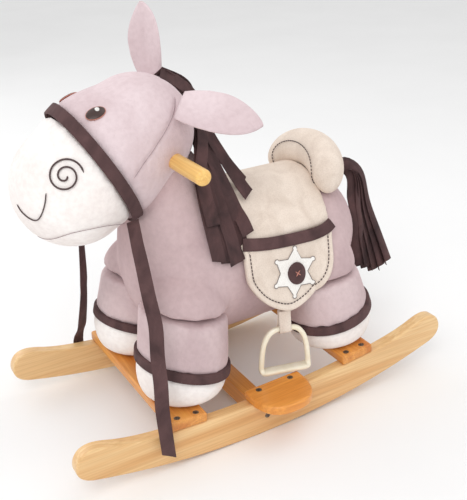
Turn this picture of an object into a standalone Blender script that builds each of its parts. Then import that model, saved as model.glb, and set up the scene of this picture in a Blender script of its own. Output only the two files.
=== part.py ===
"""Plush rocking donkey on two curved wooden rockers.

The donkey faces -Y, its left side is +X and up is +Z. Everything is laid out level
on a bench, with the middle of the rockers at the origin, and then carried by
rest_lean, which rolls the toy forward on its rockers to where it comes to rest.
"""

import math

import bmesh
import bpy
import numpy as np
from mathutils import Matrix, Vector

# Rest pose: the nose-down lean and the shift that centres the bounding box.
LEAN = math.radians(1.9)
CENTRE_SHIFT = -0.0334

# Rockers, in metres.
ROCK_RADIUS = 1.070
ROCKER_OUTER = 0.150
ROCKER_THICK = 0.020
ROCKER_FACET = 0.0215
ROCKER_TIP = 0.289
BOARD_Y = 0.145
BOARD_WIDE = 0.056
BOARD_THICK = 0.0145
BOARD_TILT = math.radians(4.6)
BOARD_SEAT_Z = 0.0622
REST_SEAT_Z = 0.0560
REST_THICK = 0.0145
REST_HALF = 0.046
REST_REACH = 0.199
RAIL_Y = -0.020
RAIL_WIDE = 0.026
RAIL_Z = (0.014, 0.044)
GAP = 0.0003

# Screws.
SCREW_X = 0.140
SCREW_HEAD = 0.0045
SCREW_SHANK = 0.0020
SCREW_LENGTH = 0.030
BOARD_SCREW_OFF = 0.0145
REST_SCREW_Y = 0.027

# Hidden wooden frame.
POST_RADIUS = 0.014
POST_FOOT = (0.070, 0.134)
POST_TOP = (0.056, 0.092)
SEAT_BOARD_Z = (0.200, 0.218)
SEAT_BOARD_Y = (-0.118, 0.112)
SEAT_BOARD_X = 0.075
NECK_FOOT_Y = -0.078
NECK_TOP = (-0.0905, 0.446)
HANDLE_AT = (-0.089, 0.414)
HANDLE_RADIUS = 0.011
HANDLE_HALF = 0.150
CLEAR = 0.0004

# Stuffed body: centres and radii of the forms that run into each other.
BODY_FRONT = (0.0, -0.046, 0.232)
BODY_REAR = (0.0, 0.118, 0.229)
BODY_RADIUS = 0.112
NECK_LOW = (0.0, -0.060, 0.285)
NECK_HIGH = (0.0, -0.098, 0.385)
HEAD_BACK = (0.0, -0.112, 0.443)
HEAD_MID = (0.0, -0.160, 0.420)
HEAD_NOSE = (0.0, -0.207, 0.392)
SEAM = 0.0012
LEG_GAP = 0.0026
WALL = 0.022
MUZZLE_AT = (0.0, -0.176, 0.411)
MUZZLE_DIR = (0.0, -0.90, -0.436)
LIMB_X = (0.080, 0.068)
LIMB_Y = {-1: (-0.116, -0.100), 1: (0.139, 0.122)}
LIMB_Z = (0.116, 0.196)
LIMB_RADIUS = (0.0685, 0.0660)
BAND_Z = 0.127
BAND_TILT = {-1: math.radians(18), 1: math.radians(10)}
BAND_HALF = 0.0065

# Saddle.
SEAT_Y = (0.000, 0.128)
FLAP_Y = (-0.020, 0.128)
SEAT_EDGE = math.radians(52)
FLAP_EDGE = math.radians(116)
SADDLE_AXIS_Z = 0.232
FLAP_SPREAD = 0.31

# Stirrups.
STIRRUP_X = 0.124
STIRRUP_Y = 0.031
STIRRUP_Z = 0.1455
STIRRUP_YAW = math.radians(14)

COLOURS = {
    "wood_pale": ((0.76, 0.51, 0.27), 0.45, 0.0),
    "wood_honey": ((0.72, 0.34, 0.08), 0.40, 0.0),
    "wood_hidden": ((0.60, 0.42, 0.24), 0.60, 0.0),
    "screw_dark": ((0.08, 0.07, 0.06), 0.35, 0.9),
    "plush_body": ((0.48, 0.36, 0.36), 0.95, 0.0),
    "plush_head": ((0.58, 0.48, 0.50), 0.95, 0.0),
    "plush_white": ((0.85, 0.82, 0.78), 0.95, 0.0),
    "suede_brown": ((0.10, 0.05, 0.05), 0.90, 0.0),
    "suede_cream": ((0.73, 0.63, 0.53), 0.90, 0.0),
    "ivory": ((0.90, 0.84, 0.68), 0.35, 0.0),
}


def clear_scene():
    for obj in list(bpy.data.objects):
        bpy.data.objects.remove(obj, do_unlink=True)


def new_collection(name):
    made = bpy.data.collections.new(name)
    bpy.context.scene.collection.children.link(made)
    return made


def material(key):
    found = bpy.data.materials.get(key)
    if found:
        return found
    colour, rough, metal = COLOURS[key]
    made = bpy.data.materials.new(key)
    made.use_nodes = True
    made.diffuse_color = (*colour, 1.0)
    shader = made.node_tree.nodes["Principled BSDF"]
    shader.inputs["Base Color"].default_value = (*colour, 1.0)
    shader.inputs["Roughness"].default_value = rough
    shader.inputs["Metallic"].default_value = metal
    return made


def sub_part(name, points, faces, colour, smooth=True, parent=None):
    """A mesh object of the toy from its points and faces."""
    mesh = bpy.data.meshes.new(name)
    mesh.from_pydata([tuple(map(float, p)) for p in points], [], faces)
    facing = bmesh.new()
    facing.from_mesh(mesh)
    bmesh.ops.recalc_face_normals(facing, faces=facing.faces)
    facing.to_mesh(mesh)
    facing.free()
    own = material(colour).copy()
    own.name = f"{colour}_{name}"
    mesh.materials.append(own)
    if smooth:
        mesh.polygons.foreach_set("use_smooth", [True] * len(mesh.polygons))
    obj = bpy.data.objects.new(name, mesh)
    TOY.objects.link(obj)
    obj.parent = parent or ROOT
    return obj


def cutter(name, points, faces, parent=None):
    obj = sub_part(name, points, faces, "screw_dark", False, parent)
    TOY.objects.unlink(obj)
    CUTTERS.objects.link(obj)
    obj.hide_render = True
    obj.display_type = "WIRE"
    return obj


def cut(obj, tool):
    made = obj.modifiers.new(f"cut_{tool.name}"[:60], "BOOLEAN")
    made.operation = "DIFFERENCE"
    made.solver = "EXACT"
    made.object = tool


def soften(obj, width, segments=2):
    made = obj.modifiers.new("eased_edges", "BEVEL")
    made.width = width
    made.segments = segments
    made.limit_method = "ANGLE"
    made.angle_limit = math.radians(40)


def pivot(name, location, rotation=(0, 0, 0), order="XYZ", parent=None):
    made = bpy.data.objects.new(name, None)
    made.empty_display_size = 0.02
    TOY.objects.link(made)
    made.parent = parent
    made.location = location
    made.rotation_mode = order
    made.rotation_euler = rotation
    return made


# ---------------------------------------------------------------- mesh builders


def prism(outline, x0, x1):
    """A plate with its outline in the Y-Z plane, between two X values."""
    n = len(outline)
    points = [(x0, y, z) for y, z in outline] + [(x1, y, z) for y, z in outline]
    faces = [list(range(n))[::-1], list(range(n, 2 * n))]
    faces += [[i, (i + 1) % n, n + (i + 1) % n, n + i] for i in range(n)]
    return points, faces


def plate(outline, z0, z1):
    """A plate with its outline in the X-Y plane, between two Z values."""
    n = len(outline)
    points = [(x, y, z0) for x, y in outline] + [(x, y, z1) for x, y in outline]
    faces = [list(range(n))[::-1], list(range(n, 2 * n))]
    faces += [[i, (i + 1) % n, n + (i + 1) % n, n + i] for i in range(n)]
    return points, faces


def sweep(rings, closed=False):
    """A solid through equal rings of points, with flat ends or closed on itself."""
    count, size = len(rings), len(rings[0])
    points = [p for ring in rings for p in ring]
    faces = []
    for r in range(count if closed else count - 1):
        a, b = r * size, ((r + 1) % count) * size
        for i in range(size):
            j = (i + 1) % size
            faces.append([a + i, a + j, b + j, b + i])
    if not closed:
        faces.append(list(range(size))[::-1])
        faces.append(list(range((count - 1) * size, count * size)))
    return points, faces


def turned(profile, steps, at=(0, 0, 0)):
    """A turned solid about Z through at; the profile runs bottom to top, ends on the axis."""
    points = [(at[0], at[1], at[2] + profile[0][1])]
    for radius, z in profile[1:-1]:
        for i in range(steps):
            a = math.tau * i / steps
            points.append(
                (at[0] + radius * math.cos(a), at[1] + radius * math.sin(a), at[2] + z)
            )
    points.append((at[0], at[1], at[2] + profile[-1][1]))
    last = len(points) - 1
    rows = len(profile) - 2
    faces = [[0, 1 + (i + 1) % steps, 1 + i] for i in range(steps)]
    for r in range(rows - 1):
        a, b = 1 + r * steps, 1 + (r + 1) * steps
        for i in range(steps):
            j = (i + 1) % steps
            faces.append([a + i, a + j, b + j, b + i])
    top = 1 + (rows - 1) * steps
    faces += [[top + i, top + (i + 1) % steps, last] for i in range(steps)]
    return points, faces


def tube_ring(inner, outer, z0, z1, steps):
    """A flat-sided ring about Z."""
    rings = []
    for i in range(steps):
        c, s = math.cos(math.tau * i / steps), math.sin(math.tau * i / steps)
        rings.append(
            [
                (inner * c, inner * s, z0),
                (outer * c, outer * s, z0),
                (outer * c, outer * s, z1),
                (inner * c, inner * s, z1),
            ]
        )
    return sweep(rings, closed=True)


def rod(a, b, radius, steps=24, normal_a=None, normal_b=None):
    """A round rod from a to b; each end lies in the plane of its normal."""
    a, b = Vector(a), Vector(b)
    along = (b - a).normalized()
    side = along.cross(Vector((0, 1, 0))).normalized()
    if side.length < 0.5:
        side = along.cross(Vector((1, 0, 0))).normalized()
    other = along.cross(side)
    rings = []
    for end, normal in ((a, normal_a), (b, normal_b)):
        n = Vector(normal) if normal else along
        ring = []
        for i in range(steps):
            t = math.tau * i / steps
            p = end + radius * (math.cos(t) * side + math.sin(t) * other)
            ring.append(tuple(p + along * ((end - p).dot(n) / along.dot(n))))
        rings.append(ring)
    return sweep(rings)


# ---------------------------------------------------------------- stuffed forms


def ball_line(p, a, b, ra, rb, wide=1.0):
    """Distance to a stuffed form that runs from one ball to another."""
    q = p * np.array((1.0 / wide, 1.0, 1.0))
    a, b = np.array(a), np.array(b)
    t = np.clip((q - a) @ (b - a) / ((b - a) @ (b - a)), 0.0, 1.0)
    return np.linalg.norm(q - (a + t[..., None] * (b - a)), axis=-1) - (ra + (rb - ra) * t)


def merge(d1, d2, k):
    h = np.clip(0.5 + 0.5 * (d2 - d1) / k, 0.0, 1.0)
    return d2 * (1 - h) + d1 * h - k * h * (1 - h)


def head_form(p):
    upper = ball_line(p, HEAD_BACK, HEAD_MID, 0.080, 0.089)
    lower = ball_line(p, HEAD_MID, HEAD_NOSE, 0.089, 0.084)
    return merge(upper, lower, 0.010)


def muzzle_gap(p):
    """Positive in front of the seam between the head and the muzzle."""
    way = np.array(MUZZLE_DIR)
    return (p - np.array(MUZZLE_AT)) @ (way / np.linalg.norm(way))


def body_form(p):
    trunk = ball_line(p, BODY_FRONT, BODY_REAR, BODY_RADIUS, BODY_RADIUS - 0.002)
    neck = ball_line(p, NECK_LOW, NECK_HIGH, 0.086, 0.066)
    return merge(trunk, neck, 0.045)


def limb_form(p, side, end):
    """side is +1 for left; end is -1 for the front legs and +1 for the rear."""
    low = (side * LIMB_X[0], LIMB_Y[end][0], LIMB_Z[0])
    high = (side * LIMB_X[1], LIMB_Y[end][1], LIMB_Z[1])
    return ball_line(p, low, high, *LIMB_RADIUS)


def above_band(p, side, end):
    """How far a point lies above the plane where a leg meets its hoof."""
    up = np.array((0.0, -end * math.sin(BAND_TILT[end]), math.cos(BAND_TILT[end])))
    return (p - np.array((side * LIMB_X[0], LIMB_Y[end][0], BAND_Z))) @ up


def above_board(p, end):
    up = np.array((0.0, -end * math.sin(BOARD_TILT), math.cos(BOARD_TILT)))
    lift = 2 * GAP + BOARD_THICK
    return (p - np.array((0.0, end * BOARD_Y, BOARD_SEAT_Z))) @ up - lift


def torso_form(p):
    """The trunk and neck, hollowed to take the head, the noseband and the hooves."""
    room = np.where(np.abs(muzzle_gap(p)) < 0.016, 0.0066, 0.0020)
    found = np.maximum(body_form(p), room - head_form(p))
    for side in (-1, 1):
        for end in (-1, 1):
            foot = limb_form(p, side, end) - 0.0085
            foot = np.maximum(foot, above_band(p, side, end) - 0.0125)
            found = np.maximum(found, -foot)
    return found


def leg_form(p, side, end):
    shape = np.maximum(limb_form(p, side, end), SEAM / 2 - above_band(p, side, end))
    return np.maximum(shape, LEG_GAP - torso_form(p))


def hoof_form(p, side, end):
    shape = np.maximum(limb_form(p, side, end), SEAM / 2 + above_band(p, side, end))
    return np.maximum(shape, -above_board(p, end))


def all_form(p):
    found = body_form(p)
    for side in (-1, 1):
        for end in (-1, 1):
            found = merge(found, leg_form(p, side, end), 0.012)
    return found


def surface(form, start, direction, value=0.0, reach=0.45):
    """How far along each direction the form first reaches the value."""
    start = np.broadcast_to(np.asarray(start, float), direction.shape)
    low = np.zeros(direction.shape[:-1])
    high = np.full(direction.shape[:-1], reach)
    done = np.zeros(direction.shape[:-1], bool)
    for step in np.linspace(0.0, reach, 181)[1:]:
        out = form(start + direction * step) > value
        high = np.where(out & ~done, step, high)
        done |= out
        low = np.where(done, low, step)
    for _ in range(26):
        mid = (low + high) / 2
        out = form(start + direction * mid[..., None]) > value
        high = np.where(out, mid, high)
        low = np.where(out, low, mid)
    return (low + high) / 2


def stuffed(form, centre, rings, steps, tilt=0.0):
    """A closed skin around a form, seen from a point inside it; tilt leans the poles."""
    rows = []
    for r in range(1, rings):
        polar = math.pi * r / rings
        ring = []
        for i in range(steps):
            a = math.tau * i / steps
            y = math.sin(polar) * math.sin(a)
            z = -math.cos(polar)
            ring.append(
                (
                    math.sin(polar) * math.cos(a),
                    y * math.cos(tilt) - z * math.sin(tilt),
                    y * math.sin(tilt) + z * math.cos(tilt),
                )
            )
        rows += ring
    low = (0.0, math.sin(tilt), -math.cos(tilt))
    high = (0.0, -math.sin(tilt), math.cos(tilt))
    ways = np.array([low] + rows + [high])
    found = np.asarray(centre) + ways * surface(form, centre, ways)[:, None]
    faces = [[0, 1 + (i + 1) % steps, 1 + i] for i in range(steps)]
    for r in range(rings - 2):
        a, b = 1 + r * steps, 1 + (r + 1) * steps
        for i in range(steps):
            j = (i + 1) % steps
            faces.append([a + i, a + j, b + j, b + i])
    top, last = 1 + (rings - 2) * steps, len(ways) - 1
    faces += [[top + i, top + (i + 1) % steps, last] for i in range(steps)]
    return found, faces


def draped(form, start, ways, lift, thick):
    """A pad that follows a form: start and ways are grids of points and directions."""
    inner = start + ways * surface(form, start, ways, lift)[..., None]
    outer = start + ways * surface(form, start, ways, lift + thick)[..., None]
    rows, columns = inner.shape[:2]
    points = np.concatenate([inner.reshape(-1, 3), outer.reshape(-1, 3)])
    size = rows * columns
    faces = []
    for r in range(rows - 1):
        for c in range(columns - 1):
            a, b = r * columns + c, r * columns + c + 1
            d, e = a + columns, b + columns
            faces.append([a, b, e, d])
            faces.append([size + a, size + d, size + e, size + b])
    edge = [c for c in range(columns)]
    edge += [r * columns + columns - 1 for r in range(1, rows)]
    edge += [(rows - 1) * columns + c for c in range(columns - 2, -1, -1)]
    edge += [r * columns for r in range(rows - 2, 0, -1)]
    for i, a in enumerate(edge):
        b = edge[(i + 1) % len(edge)]
        faces.append([a, size + a, size + b, b])
    return points, faces


# ---------------------------------------------------------------- wooden base


def rest_facet():
    """The angle of the middle of the facet that the toy rests on."""
    return -LEAN


def rocker_outline():
    pitch = ROCKER_FACET / ROCK_RADIUS
    steps = int((ROCKER_TIP / ROCK_RADIUS + LEAN) / pitch)
    bottom = []
    for k in range(-steps - 2, steps + 12):
        angle = rest_facet() + (k + 0.5) * pitch
        y = ROCK_RADIUS * math.sin(angle)
        if abs(y) > ROCKER_TIP:
            continue
        bottom.append((y, ROCK_RADIUS - ROCK_RADIUS * math.cos(angle)))
    tip = [(0.2985, 0.0445), (0.3060, 0.0520), (0.3090, 0.0620), (0.3070, 0.0730)]
    tip += [(0.3010, 0.0820), (0.2920, 0.0870), (0.2800, 0.0880), (0.2660, 0.0850)]
    tip += [(0.2500, 0.0795), (0.2320, 0.0745), (0.2100, 0.0700)]
    half = BOARD_WIDE / 2 * math.cos(BOARD_TILT)
    rise = BOARD_WIDE / 2 * math.sin(BOARD_TILT)
    tip += [(BOARD_Y + half + 0.003, BOARD_SEAT_Z + rise + 0.00024)]
    tip += [(BOARD_Y - half - 0.003, BOARD_SEAT_Z - rise - 0.00024)]
    tip += [(0.085, 0.0574), (REST_HALF + 0.002, REST_SEAT_Z)]
    front = [(-y, z) for y, z in reversed(tip)]
    return bottom + tip + front


def build_rockers():
    made = {}
    for side, name in ((1, "rocker_left"), (-1, "rocker_right")):
        xs = sorted((side * ROCKER_OUTER, side * (ROCKER_OUTER - ROCKER_THICK)))
        points, faces = prism(rocker_outline(), *xs)
        made[side] = sub_part(name, points, faces, "wood_pale", False)
    return made


def build_foot_boards():
    made = {}
    for end, name in ((-1, "front_foot_board"), (1, "rear_foot_board")):
        half = BOARD_WIDE / 2
        outline = [(-ROCKER_OUTER, -half), (ROCKER_OUTER, -half)]
        outline += [(ROCKER_OUTER, half), (-ROCKER_OUTER, half)]
        points, faces = plate(outline, GAP, GAP + BOARD_THICK)
        frame = BOARD_FRAMES[end]
        made[end] = sub_part(name, points, faces, "wood_honey", False, frame)
    return made


def build_footrests():
    made = {}
    for side, name in ((1, "footrest_left"), (-1, "footrest_right")):
        inner, outer = ROCKER_OUTER - ROCKER_THICK, REST_REACH
        outline = [(inner, -REST_HALF), (ROCKER_OUTER + 0.008, -REST_HALF)]
        outline += [(0.181, -0.038), (0.195, -0.023), (outer, -0.010)]
        outline += [(outer, 0.010), (0.195, 0.023), (0.181, 0.038)]
        outline += [(ROCKER_OUTER + 0.008, REST_HALF), (inner, REST_HALF)]
        outline = [(side * x, y) for x, y in outline]
        low = REST_SEAT_Z + GAP
        points, faces = plate(outline, low, low + REST_THICK)
        made[side] = sub_part(name, points, faces, "wood_honey", False)
    return made


def build_rail():
    reach = ROCKER_OUTER - ROCKER_THICK - GAP
    low, high = RAIL_Z
    y0, y1 = RAIL_Y - RAIL_WIDE / 2, RAIL_Y + RAIL_WIDE / 2
    points, faces = prism([(y0, low), (y1, low), (y1, high), (y0, high)], -reach, reach)
    return sub_part("centre_rail", points, faces, "wood_pale", False)


def screw_profile(extra):
    """Tip to head, with the head's top at 0."""
    tip = -SCREW_LENGTH - extra
    head = SCREW_HEAD + extra
    shank = SCREW_SHANK + extra
    profile = [(0, tip), (shank * 0.35, tip), (shank, tip + 0.004)]
    profile += [(shank, -0.0032), (head, -0.0006)]
    profile += [(head, 0.004 if extra else -0.0001), (0, 0.004 if extra else -0.0001)]
    return profile


def build_screw(name, frame, wooden):
    """One countersunk screw, flush with the face it is driven into, and its bores."""
    sub_part(name, *turned(screw_profile(0.0), 12), "screw_dark", True, frame)
    tool = cutter(f"bore_{name}", *turned(screw_profile(GAP), 12), frame)
    for obj in wooden:
        cut(obj, tool)


def build_screws(rockers, boards, rests, rail):
    top = GAP + BOARD_THICK
    for end, word in ((-1, "front"), (1, "rear")):
        for side, hand in ((1, "left"), (-1, "right")):
            for off, letter in ((-BOARD_SCREW_OFF, "a"), (BOARD_SCREW_OFF, "b")):
                name = f"{word}_board_screw_{hand}_{letter}"
                at = (side * SCREW_X, off, top)
                frame = pivot(f"at_{name}", at, parent=BOARD_FRAMES[end])
                build_screw(name, frame, (boards[end], rockers[side]))
    top = REST_SEAT_Z + GAP + REST_THICK
    for side, hand in ((1, "left"), (-1, "right")):
        for off, letter in ((-REST_SCREW_Y, "a"), (REST_SCREW_Y, "b")):
            name = f"footrest_screw_{hand}_{letter}"
            frame = pivot(f"at_{name}", (side * SCREW_X, off, top), parent=ROOT)
            build_screw(name, frame, (rests[side], rockers[side]))
        name = f"rail_screw_{hand}"
        at = (side * ROCKER_OUTER, RAIL_Y, sum(RAIL_Z) / 2)
        turn = (0, side * math.pi / 2, 0)
        frame = pivot(f"at_{name}", at, turn, parent=ROOT)
        build_screw(name, frame, (rockers[side], rail))


# ---------------------------------------------------------------- hidden frame


def post_line(side, end, lift=0.0):
    """The foot and the top of a leg post, with its foot on the board's top face."""
    x, y = POST_FOOT
    over = (y - BOARD_Y) * math.tan(BOARD_TILT)
    z = BOARD_SEAT_Z + over + (GAP + BOARD_THICK + GAP) / math.cos(BOARD_TILT)
    foot = Vector((side * x, end * y, z + lift))
    top = Vector((side * POST_TOP[0], end * POST_TOP[1], SEAT_BOARD_Z[0] - GAP))
    return foot, top


def build_posts():
    made = {}
    for end, word in ((-1, "front"), (1, "rear")):
        for side, hand in ((1, "left"), (-1, "right")):
            foot, top = post_line(side, end)
            floor = (0, -end * math.sin(BOARD_TILT), math.cos(BOARD_TILT))
            name = f"leg_post_{word}_{hand}"
            points, faces = rod(foot, top, POST_RADIUS, 20, floor, (0, 0, 1))
            sub_part(name, points, faces, "wood_hidden")
            way = (top - foot).normalized()
            points, faces = rod(
                foot - way * 0.02, top + way * 0.008, POST_RADIUS + CLEAR, 20
            )
            made[side, end] = cutter(f"bore_{name}", points, faces)
    return made


def build_seat_board():
    y0, y1 = SEAT_BOARD_Y
    x, c = SEAT_BOARD_X, 0.020
    outline = [(-x + c, y0), (x - c, y0), (x, y0 + c), (x, y1 - c)]
    outline += [(x - c, y1), (-x + c, y1), (-x, y1 - c), (-x, y0 + c)]
    points, faces = plate(outline, *SEAT_BOARD_Z)
    board = sub_part("seat_board", points, faces, "wood_hidden", False)
    grown = [(px * (1 + CLEAR / x), py + math.copysign(CLEAR, py)) for px, py in outline]
    low, high = SEAT_BOARD_Z
    tool = cutter("pocket_seat_board", *plate(grown, low - CLEAR, high + CLEAR))
    return board, tool


def build_neck_post():
    foot = Vector((0, NECK_FOOT_Y, SEAT_BOARD_Z[1] + GAP))
    top = Vector((0, *NECK_TOP))
    way = (top - foot).normalized()
    points, faces = rod(foot, top, POST_RADIUS, 24, (0, 0, 1))
    post = sub_part("neck_post", points, faces, "wood_hidden")
    tool = rod(foot - way * 0.01, top + way * CLEAR, POST_RADIUS + CLEAR, 24)
    return post, cutter("bore_neck_post", *tool)


def build_handle(post):
    radius, half = HANDLE_RADIUS, HANDLE_HALF
    profile = [(0, -half), (radius * 0.62, -half), (radius * 0.9, -half + 0.0012)]
    profile += [(radius, -half + 0.0040), (radius, half - 0.0040)]
    profile += [(radius * 0.9, half - 0.0012), (radius * 0.62, half), (0, half)]
    frame = pivot("at_handle_bar", (0, *HANDLE_AT), (0, math.pi / 2, 0), parent=ROOT)
    sub_part("handle_bar", *turned(profile, 24), "wood_honey", True, frame)
    wide = [(0, -half - 0.02), (radius + CLEAR, -half - 0.02)]
    wide += [(radius + CLEAR, half + 0.02), (0, half + 0.02)]
    tool = cutter("bore_handle_bar", *turned(wide, 24), frame)
    cut(post, tool)
    return tool


# ---------------------------------------------------------------- stuffed parts


def padding(p):
    """Thickness of the padded wall: thicker in the chest and neck than in the rump."""
    return WALL + 0.25 * np.maximum(0.0, 0.020 - p[..., 1])


def build_torso(tools):
    points, faces = stuffed(torso_form, (0, -0.030, 0.250), 26, 38)
    torso = sub_part("torso", points, faces, "plush_body")
    void = stuffed(lambda p: torso_form(p) + padding(p), (0, 0.020, 0.240), 14, 20)
    for tool in [cutter("hollow_of_torso", *void), *tools]:
        cut(torso, tool)
    return torso


def build_head(tools):
    back = stuffed(
        lambda p: np.maximum(head_form(p), muzzle_gap(p) + 0.0002),
        (0, -0.122, 0.438), 22, 34,
    )
    head = sub_part("head", *back, "plush_head")
    for tool in tools:
        cut(head, tool)
    front = stuffed(
        lambda p: np.maximum(head_form(p), SEAM - muzzle_gap(p)),
        (0, -0.214, 0.390), 18, 30, math.radians(64),
    )
    sub_part("muzzle", *front, "plush_white")


def build_noseband():
    way = Vector(MUZZLE_DIR).normalized()
    up = way.cross(Vector((1, 0, 0))).normalized()
    centre = Vector(MUZZLE_AT)
    rings = []
    count = 40
    for i in range(count):
        a = math.tau * i / count
        out = Vector((math.cos(a), 0, 0)) + up * math.sin(a)
        ring = []
        for shift, lift in ((-0.008, 0.0010), (0.008, 0.0010), (0.008, 0.0034), (-0.008, 0.0034)):
            start = np.array([centre + way * shift])
            far = surface(head_form, start, np.array([out]), lift)[0]
            ring.append(tuple(centre + way * shift + out * far))
        rings.append(ring)
    sub_part("noseband", *sweep(rings, closed=True), "suede_brown", False)


def hoof_band(side, end):
    """The ribbon sewn round the limb over the seam between leg and hoof."""
    tilt = -end * BAND_TILT[end]
    up = Vector((0, math.sin(tilt), math.cos(tilt)))
    along = Vector((0, math.cos(tilt), -math.sin(tilt)))
    centre = Vector((side * LIMB_X[0], LIMB_Y[end][0], BAND_Z))
    rings = []
    for i in range(30):
        a = math.tau * i / 30
        out = Vector((math.cos(a), 0, 0)) + along * math.sin(a)
        ring = []
        for shift, lift in ((-1, 0.0010), (1, 0.0010), (1, 0.0030), (-1, 0.0030)):
            start = np.array([centre + up * (shift * BAND_HALF)])
            ways = np.array([out])
            far = surface(lambda p: limb_form(p, side, end), start, ways, lift)[0]
            ring.append(tuple(Vector(start[0]) + out * far))
        rings.append(ring)
    return sweep(rings, closed=True)


def build_limbs(tools):
    for end, word in ((-1, "front"), (1, "rear")):
        for side, hand in ((1, "left"), (-1, "right")):
            where = f"{word}_{hand}"
            centre = (side * 0.086, LIMB_Y[end][0], 0.156)
            made = stuffed(
                lambda p, s=side, e=end: leg_form(p, s, e),
                centre, 15, 24, -end * BAND_TILT[end] * 0.6,
            )
            leg = sub_part(f"leg_{where}", *made, "plush_head")
            cut(leg, tools[side, end])
            centre = (side * LIMB_X[0], LIMB_Y[end][0], 0.101)
            made = stuffed(
                lambda p, s=side, e=end: hoof_form(p, s, e),
                centre, 13, 26, -end * BAND_TILT[end] * 0.6,
            )
            hoof = sub_part(f"hoof_{where}", *made, "plush_white")
            cut(hoof, tools[side, end])
            made = hoof_band(side, end)
            sub_part(f"hoof_band_{where}", *made, "suede_brown", False)


def ear_rings(base, tip, width, thick, face, hollow):
    """Rings of a leaf-shaped stuffed ear; face is the way the ear opens."""
    base, tip = Vector(base), Vector(tip)
    along = (tip - base).normalized()
    across = along.cross(Vector(face)).normalized()
    out = across.cross(along)
    length = (tip - base).length
    spans = ((0.0, 0.72), (0.12, 0.86), (0.28, 0.97), (0.45, 1.0), (0.62, 0.93))
    spans += ((0.76, 0.76), (0.88, 0.52), (0.96, 0.28), (1.0, 0.08))
    rings = []
    for t, share in spans:
        ring = []
        for i in range(16):
            a = math.tau * i / 16
            x = math.cos(a) * width / 2 * share
            y = math.sin(a) * thick / 2 * (0.35 + 0.65 * share)
            y += hollow * share * ((2 * x / width) ** 2 - 0.5)
            ring.append(tuple(base + along * (t * length) + across * x + out * y))
        rings.append(ring)
    return rings


def build_ears():
    for side, hand in ((1, "left"), (-1, "right")):
        if side > 0:
            base, tip, face = (0.071, -0.070, 0.484), (0.143, 0.002, 0.461), (0.3, -0.5, 0.8)
        else:
            base, tip, face = (-0.050, -0.061, 0.508), (-0.061, -0.057, 0.599), (0.35, -0.9, 0.1)
        rings = ear_rings(base, tip, 0.060, 0.016, face, 0.008)
        sub_part(f"ear_{hand}", *sweep(rings), "plush_head")


# ---------------------------------------------------------------- hair, saddle


def build_mane():
    """The thick fall of suede strips over the crest, from between the ears to the saddle."""
    stations = [(-0.095, 0.474, 0.70, 20), (-0.090, 0.445, 0.40, 34)]
    stations += [(-0.087, 0.420, 0.25, 54), (-0.084, 0.396, 0.22, 74)]
    stations += [(-0.082, 0.374, 0.28, 82), (-0.082, 0.354, 0.34, 82)]
    start, ways = [], []
    for y, z, lean, spread in stations:
        back = Vector((0, 1, lean)).normalized()
        row_start, row_way = [], []
        for k in range(15):
            a = math.radians(spread * (k - 7) / 7)
            way = Vector((math.sin(a), 0, 0)) + back * math.cos(a)
            row_start.append((0, y, z))
            row_way.append(tuple(way))
        start.append(row_start)
        ways.append(row_way)

    def form(p):
        return merge(head_form(p), body_form(p), 0.020)

    points, faces = draped(form, np.array(start), np.array(ways), 0.004, 0.012)
    return sub_part("mane", points, faces, "suede_brown", False)


def build_tail():
    stations = [((0.006, 0.229, 0.318), 0.014, 0.007), ((0.008, 0.245, 0.292), 0.026, 0.011)]
    stations += [((0.012, 0.256, 0.245), 0.032, 0.015), ((0.018, 0.262, 0.190), 0.037, 0.019)]
    stations += [((0.026, 0.268, 0.128), 0.040, 0.022)]
    rings = []
    for (x, y, z), wide, deep in stations:
        ring = []
        for i in range(16):
            a = math.tau * i / 16
            ring.append((x + wide * math.cos(a), y + deep * math.sin(a), z))
        rings.append(ring)
    sub_part("tail", *sweep(rings), "suede_brown")


def saddle_grid(angles, spans):
    """Start points and directions around the trunk; spans gives the Y range at each angle."""
    start, ways = [], []
    for angle, (y0, y1) in zip(angles, spans):
        row = np.linspace(y0, y1, 11)
        start.append([(0.0, y, SADDLE_AXIS_Z) for y in row])
        ways.append([(math.sin(angle), 0.0, math.cos(angle))] * len(row))
    return np.array(start), np.array(ways)


def build_seat():
    angles = np.linspace(-SEAT_EDGE, SEAT_EDGE, 15)
    spans = [SEAT_Y] * len(angles)
    start, ways = saddle_grid(angles, spans)
    points, faces = draped(body_form, start, ways, SEAM, 0.012)
    return sub_part("saddle_seat", points, faces, "suede_cream")


def skirt_form(p):
    """The trunk and legs with their sides carried down and a little outward."""
    q = p.copy()
    drop = np.maximum(0.0, SADDLE_AXIS_Z - q[..., 2])
    q[..., 0] = np.sign(q[..., 0]) * np.maximum(0.0, np.abs(q[..., 0]) - FLAP_SPREAD * drop)
    q[..., 2] = np.maximum(q[..., 2], SADDLE_AXIS_Z)
    return np.minimum(body_form(q), all_form(p))


def build_flaps():
    count = 12
    for side, hand in ((1, "left"), (-1, "right")):
        angles, spans = [], []
        for k in range(count):
            t = k / (count - 1)
            angle = SEAT_EDGE + math.radians(1.0) + (FLAP_EDGE - SEAT_EDGE) * t
            u = max(0.0, (t - 0.45) / 0.55)
            shrink = 1.0 - math.sqrt(max(0.0, 1.0 - u * u * 0.97))
            y0 = FLAP_Y[0] + 0.062 * shrink
            y1 = FLAP_Y[1] + 0.008 * t - 0.062 * shrink
            angles.append(side * angle)
            spans.append((y0, y1))
        start, ways = saddle_grid(angles, spans)
        points, faces = draped(skirt_form, start, ways, 0.0022, 0.005)
        sub_part(f"saddle_flap_{hand}", points, faces, "suede_cream")


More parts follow.
